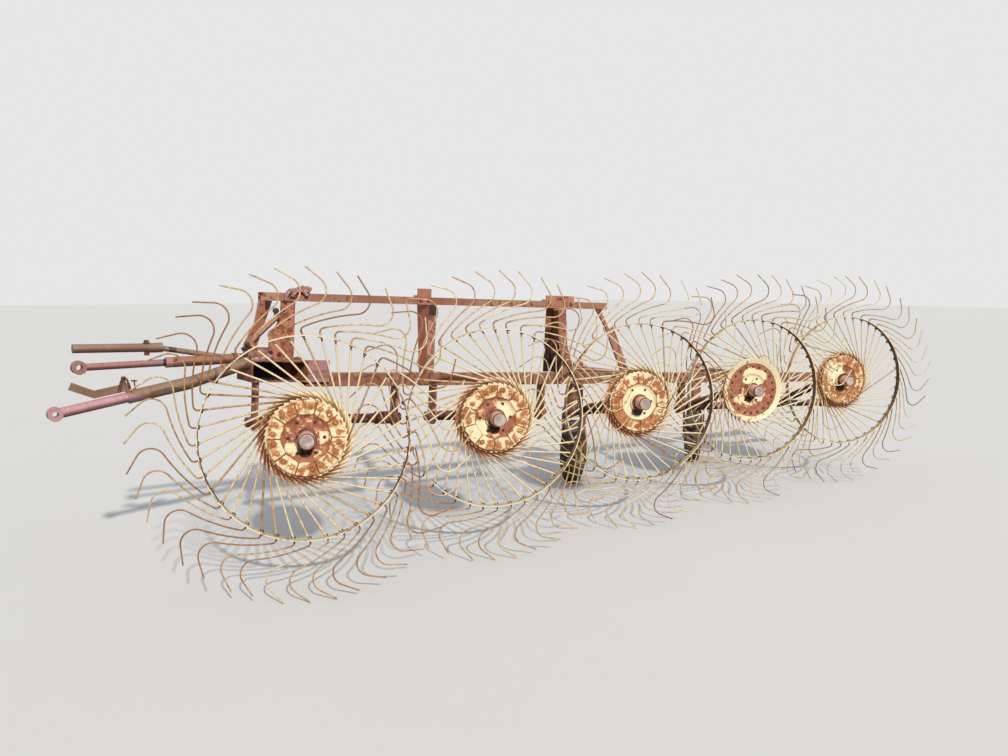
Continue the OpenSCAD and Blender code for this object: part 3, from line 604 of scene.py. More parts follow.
# Inside the outer post's channel: a plain brown-red coat, then painted shade in black on the back flange
# below its top and near the foot.
OUTER_TOUCHES = [
    (INSIDE, 0.7, "#965c48"),
    (both(INSIDE, past_x(OUTER_BACK, 0.002, -0.001), past_z(OUTER_SHADE, 0.03, -0.02)), 0.93, SHADE_BLACK),
    (both(INSIDE, past_z(OUTER_FOOT, 0.012, -0.012)), 0.9, SHADE_BLACK),
]
STRUT_TOUCHES = [(near(on_line(x, STRUT_FACE, z), size), 0.9, "#efe9df") for x, z, size in STRUT_SPOTS]
GUSSET_TOUCHES = [(near(on_line(x, BEAM_Y, z), GUSSET_SPOT_SIZE), 0.85, "#231512") for x, z in GUSSET_SPOTS]
BRACE_TOUCHES = [
    (both(past(COLLAR_START, LINE_X, 0.0, 0.004), past(COLLAR_END, -LINE_X, 0.0, 0.010)), 0.75, "#2a1d18"),
]
LOWER_TOUCHES = [
    (both(past(LOW_MOUTH, LOW_CUT, 0.022, 0.018), past(LOW_MOUTH, -LOW_RUN, -0.004, 0.0)), 0.9, "#a87a88"),
    (near(LOW_PALE_SPOT, LOW_PALE_SIZE), 0.95, "#e6d8c2"),
]
UPPER_TOUCHES = [(past(HIGH_MOUTH, -HIGH_RUN, 0.034, 0.028), 0.85, "#b7837c")]
# On the upper pole: lilac grey towards the tube's mouth, and right at the mouth near-black painted shade for
# the gap into the tube.
SALMON_TOUCHES = [
    (past(HIGH_MOUTH, HIGH_RUN, 0.110, 0.020), 0.75, "#8a7480"),
    (past(HIGH_MOUTH, HIGH_RUN, 0.016, 0.009), 0.95, "#21120f"),
]

# Finishes. A weathered one has paint, chalk, rust and dark tones, and how much of the coat still covers.
FRAME = weathered("frame_red_oxide", *RED_OXIDE)
FADED = weathered("faded_pink_oxide", "#a76a55", "#c49378", "#9c5c3c", "#663826", 0.86)
STAY = weathered("stay_orange_oxide", "#98543a", "#ad6d50", "#94502c", "#5f3323", 0.84, STAY_TOUCHES)
POST = weathered("post_red_oxide", "#ad705e", "#c08f80", "#9c5a40", "#6a3c2c", 0.86, POST_TOUCHES)
OUTER = weathered("outer_post_oxide", *RED_OXIDE, OUTER_TOUCHES)
STRUT = weathered("outer_strut_oxide", *RED_OXIDE, STRUT_TOUCHES)
GUSSET = weathered("gusset_orange_oxide", "#ab6850", "#bf8268", "#ab6438", "#6b3a26", 0.80, GUSSET_TOUCHES)
BRACE = weathered("brace_olive_brown", "#84614e", "#9d7c69", "#7a5644", "#4b3025", 0.98, BRACE_TOUCHES)
LOWER = weathered("lower_tube_olive", "#7e5f4a", "#957760", "#74482f", "#4b3025", 0.96, LOWER_TOUCHES)
UPPER = weathered("upper_tube_red_brown", "#875340", "#a3725c", "#84482e", "#4d2c20", 0.94, UPPER_TOUCHES)
LILAC = weathered("pole_lilac", "#b17d86", "#c99a9f", "#8f6058", "#5f3d36", 1.04, shade=0.45)
SALMON = weathered("pole_salmon", "#9a6562", "#b17f7a", "#804a40", "#553028", 1.00, SALMON_TOUCHES, 0.45)
SHAFT = weathered("crank_brown_oxide", "#7c4a3d", "#98685a", "#6e3a26", "#41241b", 0.78)
CREAM = weathered("cream_flaking", "#e3d4a6", "#f1e6c3", "#9b5a30", "#5f3520", 0.78, shade=0.2)
WIRE = wire_finish("finger_cream_wire")
DARK = plain_metal("dark_iron", "#4a3c35", "#1f1916", 60)
RUSTY = plain_metal("rusty_iron", "#8a5234", "#4f2c1d", 45, 0.8)
STUB_GREY = plain_metal("axle_end_grey", "#cfc0ba", "#a3928c", 30, 0.5)
STUB_PINK = plain_metal("axle_side_pink", "#f8d3c2", "#e3ae9a", 30, 0.6)
LUMP = plain_metal("pale_pink_bits", "#c39a90", "#8f6156", 70, 0.7)
BOLT = plain_metal("painted_bolt", "#94604f", "#5b352b", 60, 0.75)
RUBBER = rubber_finish("weathered_rubber")
HEAD = head_finish("coupling_head_oxide")

# Bareness of each hub's flange and dish, then its painted (minus) and bare (plus) spots.
HUB_LOOKS = [
    (0.00, 0.16, [(215, 0.085, 0.040, -0.34), (0, 0.076, 0.030, -0.42)]),
    (0.02, 0.10, [(30, 0.072, 0.055, -0.45), (215, 0.105, 0.060, -0.45), (120, 0.07, 0.05, 0.15),
                  (-10, 0.10, 0.03, 0.3)]),
    (0.03, -0.50, [(0, 0.0, 0.056, 0.9), (225, 0.150, 0.08, 0.2), (75, 0.150, 0.05, -0.12),
                   (-10, 0.150, 0.06, -0.12)]),
    (0.30, 0.14, [(100, 0.095, 0.060, -0.80), (55, 0.098, 0.055, -0.70), (215, 0.108, 0.040, -0.5),
                  (255, 0.100, 0.035, -0.45), (-40, 0.085, 0.045, -0.3)]),
    (0.06, 0.12, [(140, 0.080, 0.080, -0.55), (50, 0.08, 0.05, 0.2)]),
]
HUB_PAINTS = [hub_finish(i, *HUB_LOOKS[i]) for i in range(WHEELS)]

# CAD nodes that stay get their finishes.
node_finish = {name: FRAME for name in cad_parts}
node_finish |= {
    "inner_gusset": GUSSET, "middle_post": POST, "front_stay": STAY, "rear_stay": FADED, "top_clamps": FADED,
    "outer_post": OUTER, "outer_strut": STRUT, "lower_tube": LOWER, "upper_tube": UPPER, "brace_pole": BRACE,
    "lower_pole": LILAC, "upper_pole": SALMON, "coupling_head": HEAD, "inner_castor_rim": CREAM,
    "outer_castor_rim": CREAM,
}
for i in range(WHEELS):
    node_finish["crank_%d" % (i + 1)] = SHAFT
    node_finish["hoop_%d" % (i + 1)] = hoop_finish(i)
    node_finish["hub_%d" % (i + 1)] = HUB_PAINTS[i]
for name, material in node_finish.items():
    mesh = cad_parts[name].data
    mesh.materials.clear()
    mesh.materials.append(material)

# Fingers: how far along the path each point lies, from 0 at the root to 1 at the tip. A finger leans by its
# lean for each LEAN_RUN past the hoop, and its tilt builds up over FREE_STEPS points past the bend.
STEPS = np.arange(len(PATH))
LENGTH = np.concatenate([[0], np.cumsum(np.linalg.norm(np.diff(PATH, axis=0), axis=1))])
SHARE = LENGTH / LENGTH[-1]
KINK_MIDDLE = ROOT_STEPS + KINK_STEPS // 2
LEAN_RUN, FREE_STEPS = 0.2, 6


def finger_paths():
    """The finger path turned to every finger's place, with small differences drawn by chance.

    Past the bend the path turns about it by tilt and leans along the axle by lean. Before it, half a sine
    wave bows it sideways and off the wheel's plane. Shift turns the whole finger about the axle.
    """
    beyond = np.clip((np.linalg.norm(PATH, axis=1) - HOOP_R) / LEAN_RUN, 0, None)
    beyond = np.where(STEPS < ROOT_STEPS, 0, beyond)
    tilt = np.radians(-3.5 * rng.random(FINGERS) ** 2)
    lean = rng.normal(0, 0.007, FINGERS)
    shift = np.radians(rng.normal(0, 0.5, FINGERS))
    wave = rng.normal(0, 0.0022, FINGERS)
    # Fingers that stand on the ground, within 0.2 radian of the lowest place, keep the part's path.
    from_lowest = np.angle(np.exp(1j * (FINGER_TURNS + np.radians(TIP_ANGLE + 90))))
    standing = np.abs(from_lowest) < 0.2
    tilt[standing] = 0
    shift[standing] = 0
    bend = PATH[ROOT_STEPS]
    turn = tilt[:, None] * ramp(STEPS - ROOT_STEPS, FREE_STEPS)
    rel = PATH - bend
    x = bend[0] + rel[:, 0] * np.cos(turn) - rel[:, 1] * np.sin(turn)
    y = bend[1] + rel[:, 0] * np.sin(turn) + rel[:, 1] * np.cos(turn)
    bow = np.sin(SHARE * math.pi / SHARE[ROOT_STEPS]) * (SHARE < SHARE[ROOT_STEPS])
    spin = FINGER_TURNS[:, None] + shift[:, None] + wave[:, None] * bow * 2
    paths = np.empty((FINGERS, len(PATH), 3))
    paths[..., 0] = x * np.cos(spin) - y * np.sin(spin)
    paths[..., 1] = x * np.sin(spin) + y * np.cos(spin)
    paths[..., 2] = lean[:, None] * beyond + wave[:, None] * bow
    # A finger leans no further than the box round the part allows at its place.
    room = HUB_Z - paths[..., 0]
    paths[..., 2] = np.clip(paths[..., 2], -room / math.tan(SKEW), room * math.tan(SKEW))
    return paths


def finger_rust(i, paths):
    """How rusty each place is: whole fingers by chance, more on the lower left, in the hub and past the hoop.

    The roots get two ramps of rust inwards over the radius. The free part gets one outwards, and a bell over
    the distance from the kink.
    """
    hub_edge, disc_edge, wire_start = 0.225, 0.193, 0.23
    root = SHARE < 0.3
    radius = np.hypot(paths[..., 0], paths[..., 1])
    around = np.arctan2(paths[..., 1], paths[..., 0])
    lower_left = 0.5 + 0.5 * np.cos(around - math.radians(215))
    whole = np.where(rng.random(FINGERS) < 0.12, 0.32, 0.0) + rng.normal(0, 0.08, FINGERS)
    rust = 0.06 + 0.16 * lower_left + whole[:, None]
    rust += ramp(hub_edge - radius, 0.03) * (0.10 + 0.70 * lower_left) * root
    rust += ramp(disc_edge - radius, 0.008) * 0.46 * root
    free = ramp(radius - HOOP_R + 0.006, 0.012)
    kinked = bell(SHARE - SHARE[KINK_MIDDLE], 0.045)
    rust += free * (0.30 + 0.32 * kinked + rng.normal(0, 0.10, FINGERS)[:, None]) * (1 - 0.15 * lower_left)
    cleaner = 0.10 if i > 1 else 0.0
    return np.where(radius > wire_start, np.minimum(rust - cleaner, 0.78), rust)


def finger_set(i):
    """All fingers of a wheel as rods of round wire that thin out past the hoop and towards the tip."""
    paths = finger_paths()
    stations = [0, SHARE[ROOT_STEPS - 1], SHARE[KINK_MIDDLE + 1], 1]
    width = FINGER_R * np.interp(SHARE, stations, [1.05, 1.0, 0.84, 0.74])
    shell = Shell()
    shell.rods(on_wheel(i, paths), width, AXLE, 8, mark=finger_rust(i, paths))
    number = i + 1
    name = "wire_fingers_%d" % number
    piece(name, shell, WIRE, "wheel_%d" % number, ["fingers_%d" % number], 60)


def ties(i):
    """A wire staple round each finger inside the hoop: half an ellipse across it and two straight legs."""
    half, depth, leg, wire = 0.0066, 0.0062, 0.012, 0.0027
    radial = HOOP_R - 0.0055
    angle = np.linspace(0, math.pi, 9)
    across = np.concatenate([[half], half * np.cos(angle), [-half]])
    cos, sin = np.cos(FINGER_TURNS)[:, None], np.sin(FINGER_TURNS)[:, None]
    paths = np.empty((FINGERS, len(across), 3))
    paths[..., 0] = across * cos - radial * sin
    paths[..., 1] = across * sin + radial * cos
    paths[..., 2] = np.concatenate([[leg], -depth * np.sin(angle), [leg]])
    outwards = np.concatenate([-sin, cos, 0 * sin], -1) @ WHEEL_AXES
    shell = Shell()
    shell.rods(on_wheel(i, paths), wire, outwards, 6)
    piece("finger_ties_%d" % (i + 1), shell, DARK, "wheel_%d" % (i + 1))


# Hub faces: how far each hub is turned in degrees, the points round it, and the sizes of its pressed form.
HUB_TURNS = [0.0, 15.0, 22.0, 8.0, 3.0]
FACE_STEPS = 720
SECTOR = 2 * math.pi / CREASES
RIVET_RING = 0.141
DECAGON_R, FLOOR_R = 0.1040, 0.0905
FACE_TURN = np.linspace(0, 2 * math.pi, FACE_STEPS, endpoint=False)


def on_rings(radius, z):
    """Points at FACE_TURN round the hub, at a radius and a height for each row or point."""
    radius, z = np.broadcast_arrays(radius, z, FACE_TURN[None])[:2]
    return np.stack([radius * np.cos(FACE_TURN), radius * np.sin(FACE_TURN), z], -1)


def creased_face(i, shell, first, ring_depth, stain_size, stain_depth):
    """The pressed ring with radial creases, and its dish wall from a decagon down to a round floor.

    Height over the plate is a flat, less bells over the distance from each crease, from a ring round each
    rivet and from the dish's lip, and less a square at the rim. The wall rises by its run to a power of 1.4.
    """
    off = (FACE_TURN - first) % SECTOR - SECTOR / 2
    edge = DECAGON_R / np.cos(off)
    outer = DISC_R + 0.0006
    share = np.linspace(0, 1, 26)[:, None]
    radius = edge + (outer - edge) * share
    from_crease = (SECTOR / 2 - np.abs(off)) * radius
    from_rivet = np.hypot((np.abs(off) - SECTOR / 4) * radius, radius - RIVET_RING)
    nearest = np.floor(((FACE_TURN - first) % (2 * math.pi)) / (SECTOR / 2)).astype(int)
    groove = bell(from_crease, 0.0028)
    ring = bell(from_rivet - 0.0100, 0.0028) * ring_depth[nearest]
    stain = bell(from_rivet, stain_size[nearest]) * stain_depth[nearest]
    lip = bell(radius - edge, 0.0022)
    lift = 0.0032 - 0.0020 * groove - 0.0008 * ring - 0.0012 * lip - 0.0016 * ramp(share - 0.95, 0.05) ** 2
    seam = np.clip(0.95 * groove + 0.72 * ring + 0.95 * lip + stain, 0, 1)
    under, inside, wall_foot = PLATE_TOP + SEAT, DISH_R - 0.0008, DISH_FLOOR + 0.0010
    corners = [(outer, under), (inside, under), (inside, DISH_FLOOR), (FLOOR_R - 0.0025, DISH_FLOOR)]
    corners.append((FLOOR_R, wall_foot))
    wall = np.linspace(0, 1, 6)[1:-1, None]
    wall_r = FLOOR_R + (edge - FLOOR_R) * wall
    wall_z = wall_foot + (PLATE_TOP + 0.0010 - DISH_FLOOR) * wall**1.4
    rows = [on_rings(radius, PLATE_TOP + lift)]
    rows += [on_rings(r, z) for r, z in [*corners, (wall_r, wall_z)]]
    marks = [seam] + [np.zeros((1, FACE_STEPS))] * len(corners) + [np.broadcast_to(wall * 0.35, wall_r.shape)]
    shell.ring_grid(on_wheel(i, np.concatenate(rows)), np.concatenate(marks).reshape(-1))


def wide_face(i, shell):
    """The turned hub's wide plate: a round dish wall, a flat face and a rim that flares like a shallow cone.

    The section's points, as radius, height and mark, are swept round the axle.
    """
    top_z = PLATE_TOP + 0.0004
    section = np.array(
        [
            (FLOOR_R - 0.0025, DISH_FLOOR, 0), (FLOOR_R, DISH_FLOOR + 0.001, 0),
            (0.0960, DISH_FLOOR + 0.004, 0.1), (0.1020, top_z - 0.002, 0.2), (0.1060, top_z + 0.0006, 0.5),
            (0.1080, top_z + 0.0012, 0.5), (0.1120, top_z + 0.0012, 0), (0.1660, top_z + 0.0012, 0),
            (0.1700, top_z + 0.0018, 0.5), (0.1740, top_z + 0.0040, 0), (BACK_R - 0.0004, top_z + 0.0150, 0),
            (BACK_R + 0.0006, top_z + 0.0146, 0), (BACK_R + 0.0006, top_z + 0.0120, 0),
            (0.1750, top_z + 0.0008, 0), (0.1700, top_z - 0.0001, 0),
            (DISH_R - 0.0005, top_z - 0.0001, 0), (DISH_R - 0.0008, DISH_FLOOR, 0),
        ]
    )
    local = on_rings(section[:, :1], section[:, 1:2])
    shell.ring_grid(on_wheel(i, local), np.repeat(section[:, 2], FACE_STEPS))


def rivets(i, shell, first, ring_r, base_z, size, mark):
    """Domed rivet heads on a ring: short rods along the axle whose radius falls towards the top."""
    around = first + (np.arange(RIVETS) + 0.5) * SECTOR / 2
    places = np.stack([ring_r * np.cos(around), ring_r * np.sin(around), np.full(RIVETS, base_z)], -1)
    levels, widths = np.array([0.0, 0.0018, 0.0034, 0.0042]), np.array([0.0070, 0.0068, 0.0050, 0.0020])
    path = on_wheel(i, places[:, None] + levels[None, :, None] * UP)
    shell.rods(path, widths * size, IN_PLANE, 10, straight=True, mark=mark)


def hub_face(i):
    """A hub's pressed face and its rivets: creased, or wide and round on the turned hub."""
    first = math.radians(HUB_TURNS[i])
    ring_depth = rng.uniform(0.25, 1.0, RIVETS)
    stain_size = rng.uniform(0.010, 0.019, RIVETS)
    stain_depth = rng.uniform(0.1, 0.55, RIVETS)
    shell = Shell()
    if i == TURNED:
        wide_face(i, shell)
        rivets(i, shell, first, 0.150, PLATE_TOP + 0.0004, 1.35, 0.9)
    else:
        creased_face(i, shell, first, ring_depth, stain_size, stain_depth)
        rivets(i, shell, first, RIVET_RING, PLATE_TOP + 0.0026, 1.0, 0.3)
    piece("hub_face_%d" % (i + 1), shell, HUB_PAINTS[i], "wheel_%d" % (i + 1))


def hole_shade_plugs(i):
    """Dark plugs sunk into the dish's holes, a painted shade for the dark seen through them: short rods along
    the axle on a circle.
    """
    angle = np.arange(HOLES) * 2 * math.pi / HOLES
    levels, widths = np.array([-0.0079, -0.0062, -0.0058]), np.array([HOLE_R, HOLE_R, HOLE_R * 0.8]) * 0.985
    local = np.empty((HOLES, len(levels), 3))
    local[..., 0] = (HOLE_AT * np.cos(angle))[:, None]
    local[..., 1] = (HOLE_AT * np.sin(angle))[:, None]
    local[..., 2] = levels
    shell = Shell()
    shell.rods(on_wheel(i, local), widths, IN_PLANE, 24, straight=True)
    piece("hub_bolts_%d" % (i + 1), shell, DARK, "wheel_%d" % (i + 1))


def axle_end(i):
    """A closed axle end: a pink sleeve and a grey, slightly dished end plate, both turned profiles."""
    sleeve = [(0.0245, 0.0002), (0.026, 0.0008), (STUB - 0.012, 0.0008), (STUB + 0.0006, -0.0050)]
    plate = [(STUB, -0.0062), (STUB + 0.0016, -0.0062), (STUB + 0.0024, -0.0080), (STUB + 0.0018, -0.0130)]
    plate.append((STUB + 0.0010, -0.0290))
    for name, paint, profile in (("sleeve", STUB_PINK, sleeve), ("plate", STUB_GREY, plate)):
        levels, over = np.array(profile).T
        shell = Shell()
        shell.rods(on_wheel(i, levels[:, None] * UP), AXLE_R + over, IN_PLANE, 40, straight=True)
        piece("axle_%s_%d" % (name, i + 1), shell, paint, "crank_%d" % (i + 1))


for build in (finger_set, ties, hub_face, hole_shade_plugs, axle_end):
    for i in range(WHEELS):
        build(i)


def springs():
    """Relief springs: a helix of close turns round each shaft, on the shaft's radius plus the wire's."""
    turns, per_turn, wire, rise = 12, 22, 0.0045, 0.0086
    angle = np.linspace(0, 2 * math.pi * turns, turns * per_turn)
    radius = SHAFT_R + wire + SEAT
    shell = Shell()
    for i in range(WHEELS):
        start = i * PITCH - HANGER_LEAD + HANGER_GAP - PLATE / 2 - SEAT - wire
        x = start - rise * angle / (2 * math.pi)
        middle = on_line(0, BEAM_Y, -SHAFT_DROP) + x[:, None] * LINE_X
        path = middle + radius * (np.cos(angle)[:, None] * LINE_Z + np.sin(angle)[:, None] * ACROSS)
        shell.rods(path, wire, LINE_X, 8)
    piece("relief_spring_coils", shell, RUSTY, "frame", ["relief_springs"], 60)


def frame_bolts():
    """Bolts on the tower, its clamps, the hangers, the outriggers and the coupling head."""
    clamp_front = BEAM_Y - TOP_HALF - SEAT - CLAMP_T
    plate_front = BEAM_Y - PLATE / 2
    shell = Shell()
    clamped = (0.168, 0.228, 0.888, 0.936, 1.786, 1.911, 1.960)
    on_gusset, on_strut = ((0.160, 0.250), (0.150, 0.305)), ((2.225, 0.425), (2.470, 0.075))
    spots = [on_line(x, clamp_front, TOP_RISE + x * TOP_TILT + 0.004) for x in clamped]
    shell.bolts(spots, -ACROSS, 0.0095, 0.009)
    shell.bolts([on_line(x, plate_front, z) for x, z in on_gusset], -ACROSS, 0.0075, 0.007)
    shell.bolts([on_line(-0.024, STAY_FRONT, 0.118)], -ACROSS, 0.009, 0.008)
    shell.bolts([on_line(x, y, 0.1005) for x in (0.205, 0.232) for y in (0.600, 0.650)], LINE_Z, 0.010, 0.009)
    for i in range(WHEELS):
        for x in (i * PITCH - HANGER_LEAD, i * PITCH - HANGER_LEAD + HANGER_GAP):
            for z in (-0.060, -0.095):
                shell.bolts([on_line(x - PLATE / 2, BEAM_Y, z)], -LINE_X, 0.009, 0.008)
    for x in (INNER_CASTOR, OUTER_CASTOR):
        shell.bolts([on_line(x, BEAM_Y - BEAM_HALF, 0.0)], -ACROSS, 0.012, 0.011)
    shell.bolts([on_line(x, plate_front, z) for x, z in on_strut], -ACROSS, 0.010, 0.009)
    piece("frame_bolts", shell, BOLT, "frame")


def castor_frame(x):
    """Middle of a castor wheel and its axes: forward, up and along the axle."""
    leg = on_line(x, BEAM_Y, 0) + EYE
    ahead = np.array([math.cos(TRAVEL), math.sin(TRAVEL), 0])
    middle = gang(leg[0], CASTOR_Y, TYRE_R) - TRAIL * ahead
    return middle, np.array([ahead, UP, [math.sin(TRAVEL), -math.cos(TRAVEL), 0]])


def tyre(name, x):
    """A tyre's section swept round the axle, with three ribs and cross cuts on the shoulders.

    The tread's radius bulges as the root of 1 less a power of 4.5 of the place across. From it go the grooves
    between the ribs, a softened cosine of the place across, and the cuts, a softened cosine of the turn. The
    walls' radius falls evenly from tread to rim, and they draw in by the square of the way there.
    """
    middle, axes = castor_frame(x)
    crown, bulge_r, groove, lugs, wall_rows, bead_r = 0.052, 0.0515, 0.0045, 36, 7, RIM_R + 0.0004
    half = TYRE_W / 2 - 0.008
    turn = np.linspace(0, 2 * math.pi, 288, endpoint=False)
    across = np.linspace(-1, 1, 61)
    shoulder = np.sqrt(np.clip(1 - np.abs(across) ** 4.5, 0, 1))
    rib = 0.5 + 0.5 * np.tanh(9 * (np.abs(np.cos(across * 2.6 * math.pi)) - 0.32))
    zone = ramp(0.80 - np.abs(across), 0.05)
    edge = ramp(np.abs(across) - 0.52, 0.06) * ramp(0.97 - np.abs(across), 0.05)
    lug = 0.5 + 0.5 * np.tanh(6 * (np.cos(lugs * turn) - 0.1))
    depth = groove * (zone * (1 - edge) * (1 - rib))[:, None] + groove * edge[:, None] * (1 - lug)[None]
    tread_r = (TYRE_R - crown + bulge_r * shoulder)[:, None] - depth
    run = np.linspace(1, 0, wall_rows + 1)[1:, None]
    wall_r = np.broadcast_to(bead_r + (TYRE_R - crown - bead_r) * run, (wall_rows, len(turn)))
    wall_z = half * (1 - 0.10 * (1 - run) ** 2)
    rows_r = np.concatenate([tread_r, wall_r, wall_r[::-1]])
    rows_z = np.broadcast_to(np.concatenate([half * across[:, None], wall_z, -wall_z[::-1]]), rows_r.shape)
    local = np.stack([rows_r * np.cos(turn), rows_r * np.sin(turn), rows_z], -1)
    shell = Shell()
    shell.ring_grid(middle + local @ axes)
    piece(name + "_castor_tread", shell, RUBBER, name + "_castor_wheel", [name + "_castor_tyre"], 50)


springs()
frame_bolts()
tyre("inner", INNER_CASTOR)
tyre("outer", OUTER_CASTOR)

# Small fittings gather in three shells: brown iron, dark iron and pale bits.
brown, dark, pale = Shell(), Shell(), Shell()
RING_TURN = np.linspace(0, 2 * math.pi, 28, endpoint=False)[:, None]
STRAP = ((-0.640, 0.938), (-0.630, 0.975), (-0.622, 0.998), (-0.612, 1.004), (-0.602, 0.992), (-0.594, 0.965),
         (-0.588, 0.936))
# Knobs as place along the frame, place above it, and size.
KNOBS = ((0.070, 0.340, 0.0135), (-0.064, 0.175, 0.0125), (-0.083, 0.151, 0.010), (0.049, 0.135, 0.009))
# Bends of the bracket over the first clamp, as a depth in front of it, a size, and places along and above.
BRACKET = (
    (0.000, 0.0105, ((0.116, 0.392), (0.122, 0.424), (0.140, 0.444), (0.168, 0.447), (0.190, 0.459),
                     (0.226, 0.461), (0.250, 0.455))),
    (0.009, 0.0125, ((0.146, 0.412), (0.160, 0.440), (0.186, 0.449), (0.208, 0.440), (0.222, 0.422))),
    (0.004, 0.0115, ((0.196, 0.466), (0.214, 0.448), (0.242, 0.446))),
)


def pin(shell, start, end, radius, ref=ACROSS, sides=8):
    """A straight round pin: one rod from start to end."""
    shell.rods(np.linspace(start, end, 4), radius, ref, sides, straight=True)


def pole_fittings():
    """Strap and T-shaped pin over the lower pole, nut and peg on the brace, bands round the upper tube."""
    brown.rods([gang(x, 0.545, z) for x, z in STRAP], 0.0042, ACROSS, 4, math.pi / 4, wide=3.2)
    cap = gang(-0.571, 0.555, 0.984)
    pin(dark, gang(-0.566, 0.555, 0.940), cap, 0.0030)
    pin(dark, cap - 0.012 * LINE_X, cap + 0.012 * LINE_X, 0.0034)
    brown.bolts([gang(-0.477, 0.700, 1.140)], [UP], 0.0115, 0.015)
    pin(brown, gang(-0.477, 0.700, 1.100), gang(-0.477, 0.700, 1.084), 0.012, LINE_X, 12)
    for x in (-0.088, -0.100):
        band = gang(x, 0.630, 1.0553) + 0.0262 * (np.cos(RING_TURN) * UP + np.sin(RING_TURN) * ACROSS)
        dark.rods(band, 0.0026, LINE_X, 8, closed=True)


def knobs():
    """Knobs on adjusting rod and stay, plugs in the gusset's holes and a bolt end: turned profiles."""
    levels = np.array([-0.016, -0.014, 0.004, 0.007])
    for x, z, size in KNOBS:
        place = on_line(x, ROD_Y, z) + levels[:, None] * ACROSS
        dark.rods(place, np.array([0.7, 1.0, 1.0, 0.9]) * size, LINE_X, 9, straight=True)
    levels = np.array([-0.0085, -0.0080, -0.0063, -0.0062, 0.0062, 0.0070])
    for x, z in GUSSET_HOLES:
        plug = on_line(x, BEAM_Y, z) + levels[:, None] * ACROSS
        brown.rods(plug, [0.0105, 0.0125, 0.0125, 0.0086, 0.0086, 0.0080], LINE_X, 12, straight=True)
    stub = on_line(0.978, BEAM_Y, 0.412) + np.array([0, -0.010, -0.026, -0.028])[:, None] * LINE_Z
    dark.rods(stub, [0.009, 0.009, 0.009, 0.007], LINE_X, 10, straight=True)


def pale_bits():
    """A pale pipe end in the gusset, pale bits on the head, and the bent bracket over the first clamp."""
    ring = 0.0105 * (np.cos(RING_TURN) * LINE_X + np.sin(RING_TURN) * LINE_Z)
    pale.rods(on_line(0.123, BEAM_Y - 0.0085, 0.341) + ring, 0.0036, ACROSS, 8, closed=True)
    bits = [on_line(-0.070, ROD_Y - 0.004, 0.088), on_line(0.048, ROD_Y - 0.002, 0.118)]
    bits.append(on_line(-0.046, ROD_Y - 0.008, 0.124))
    pale.bolts(bits, -ACROSS, [0.016, 0.013, 0.011], 0.012)
    ends = on_line(-0.048, ROD_Y - 0.004, 0.099), on_line(0.022, ROD_Y - 0.004, 0.106)
    pale.rods(np.linspace(*ends, 5), 0.0125, ACROSS, 14, straight=True)
    for depth, size, bends in BRACKET:
        path = [on_line(x, BEAM_Y - TOP_HALF - 0.018 - depth, z) for x, z in bends]
        last = len(bends) - 1
        width = size * np.interp(np.arange(len(bends)), [0, 1, last], [0.8, 1.0, 0.85])
        pale.rods(path, width, ACROSS, 4, math.pi / 4, wide=1.3)


def counter_spring():
    """The spring inside the outer post: a helix of wire about a line along the post."""
    turns, length, radius, wire = 9, 0.066, 0.011, 0.0026
    angle = np.linspace(0, 2 * math.pi * turns, turns * 14)[:, None]
    coil = on_line(1.885, BEAM_Y, 0.122) + angle / angle[-1] * length * LINE_Z
    coil = coil + radius * (np.cos(angle) * LINE_X + np.sin(angle) * ACROSS)
    brown.rods(coil, wire, LINE_Z, 7)


pole_fittings()
knobs()
pale_bits()
counter_spring()
piece("coupling_fittings", brown, RUSTY, "frame")
piece("dark_knobs", dark, DARK, "frame")
piece("pale_bits", pale, LUMP, "frame")

# Floor: a pale square under the part, nearly white to the camera but grey for the light it throws back.
FLOOR_HALF = 60.0
floor_z = cad_box[0][2]
corners = [(x, y, floor_z) for x, y in ((-1, -1), (1, -1), (1, 1), (-1, 1))]
floor_mesh = bpy.data.meshes.new("floor")
floor_mesh.from_pydata([(x * FLOOR_HALF, y * FLOOR_HALF, z) for x, y, z in corners], [], [(0, 1, 2, 3)])
floor = bpy.data.objects.new("floor", floor_mesh)
bpy.context.scene.collection.objects.link(floor)
ground = Finish("pale_floor")
lit_floor = ground.mix(ground.noise(0.8, 3.0), "#f6f4f0", "#faf8f5")
seen = ground.node("ShaderNodeLightPath").outputs["Is Camera Ray"]
ground.finish(ground.mix(seen, "#85867a", lit_floor), 0.95)
floor_mesh.materials.append(ground.material)

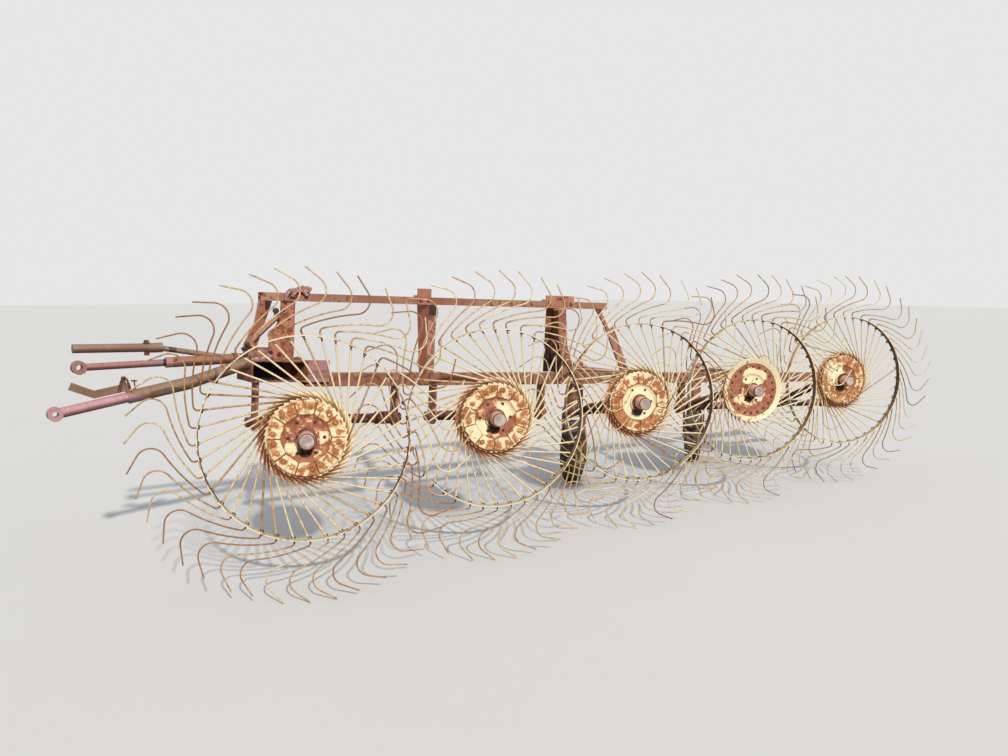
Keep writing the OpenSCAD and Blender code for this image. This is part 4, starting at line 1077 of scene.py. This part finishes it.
# Sky: soft blue light on the part, and plain grey where the camera or a reflection sees it.
world = bpy.data.worlds.new("studio")
bpy.context.scene.world = world
world.use_nodes = True
sky = world.node_tree
back = sky.nodes["Background"]
back.inputs["Color"].default_value = (0.80, 0.86, 0.95, 1)
back.inputs["Strength"].default_value = 0.40
bright = sky.nodes.new("ShaderNodeBackground")
bright.inputs["Color"].default_value = (0.80, 0.80, 0.80, 1)
rays = sky.nodes.new("ShaderNodeLightPath")
choice = sky.nodes.new("ShaderNodeMixShader")
either = sky.nodes.new("ShaderNodeMath")
either.operation = "MAXIMUM"
sky.links.new(rays.outputs["Is Camera Ray"], either.inputs[0])
sky.links.new(rays.outputs["Is Glossy Ray"], either.inputs[1])
sky.links.new(either.outputs[0], choice.inputs[0])
sky.links.new(back.outputs[0], choice.inputs[1])
sky.links.new(bright.outputs[0], choice.inputs[2])
sky.links.new(choice.outputs[0], sky.nodes["World Output"].inputs["Surface"])


def pointing(azimuth, elevation):
    """The unit vector that looks along an azimuth from +Y towards +X and up by an elevation."""
    level = math.cos(elevation)
    return Vector((math.sin(azimuth) * level, math.cos(azimuth) * level, math.sin(elevation)))


# Camera at the photograph's place: azimuth, elevation and roll in degrees, focal length in pixels.
CAMERA = Vector((-0.5972, -4.0475, 0.5536))
FOCAL, PHOTO_WIDTH, SENSOR = 858.38, 1008, 36
azimuth, elevation, roll = (math.radians(a) for a in (36.2595, -6.1830, 0.176))
ahead = pointing(azimuth, elevation)
right = Vector((math.cos(azimuth), -math.sin(azimuth), 0))
over = right.cross(ahead)
side = right * math.cos(roll) + over * math.sin(roll)
top = side.cross(ahead)
camera_data = bpy.data.cameras.new("camera")
camera_data.sensor_width = SENSOR
camera_data.lens = FOCAL / PHOTO_WIDTH * SENSOR
camera = bpy.data.objects.new("camera", camera_data)
bpy.context.scene.collection.objects.link(camera)
camera.matrix_world = Matrix((side, top, -ahead)).transposed().to_4x4()
camera.location = CAMERA
bpy.context.scene.camera = camera

# Sun behind the camera and a little to its right, fairly low, with a soft edge.
SUN_AZIMUTH, SUN_HEIGHT = math.radians(18), math.radians(28)
sun_data = bpy.data.lights.new("sun", "SUN")
sun_data.energy = 2.9
sun_data.angle = 0.03
sun_data.color = (1.0, 0.965, 0.90)
sun = bpy.data.objects.new("sun", sun_data)
bpy.context.scene.collection.objects.link(sun)
sun.rotation_euler = pointing(SUN_AZIMUTH, -SUN_HEIGHT).to_track_quat("-Z", "Y").to_euler()

bpy.context.scene.view_settings.view_transform = "Standard"

bpy.context.view_layer.update()
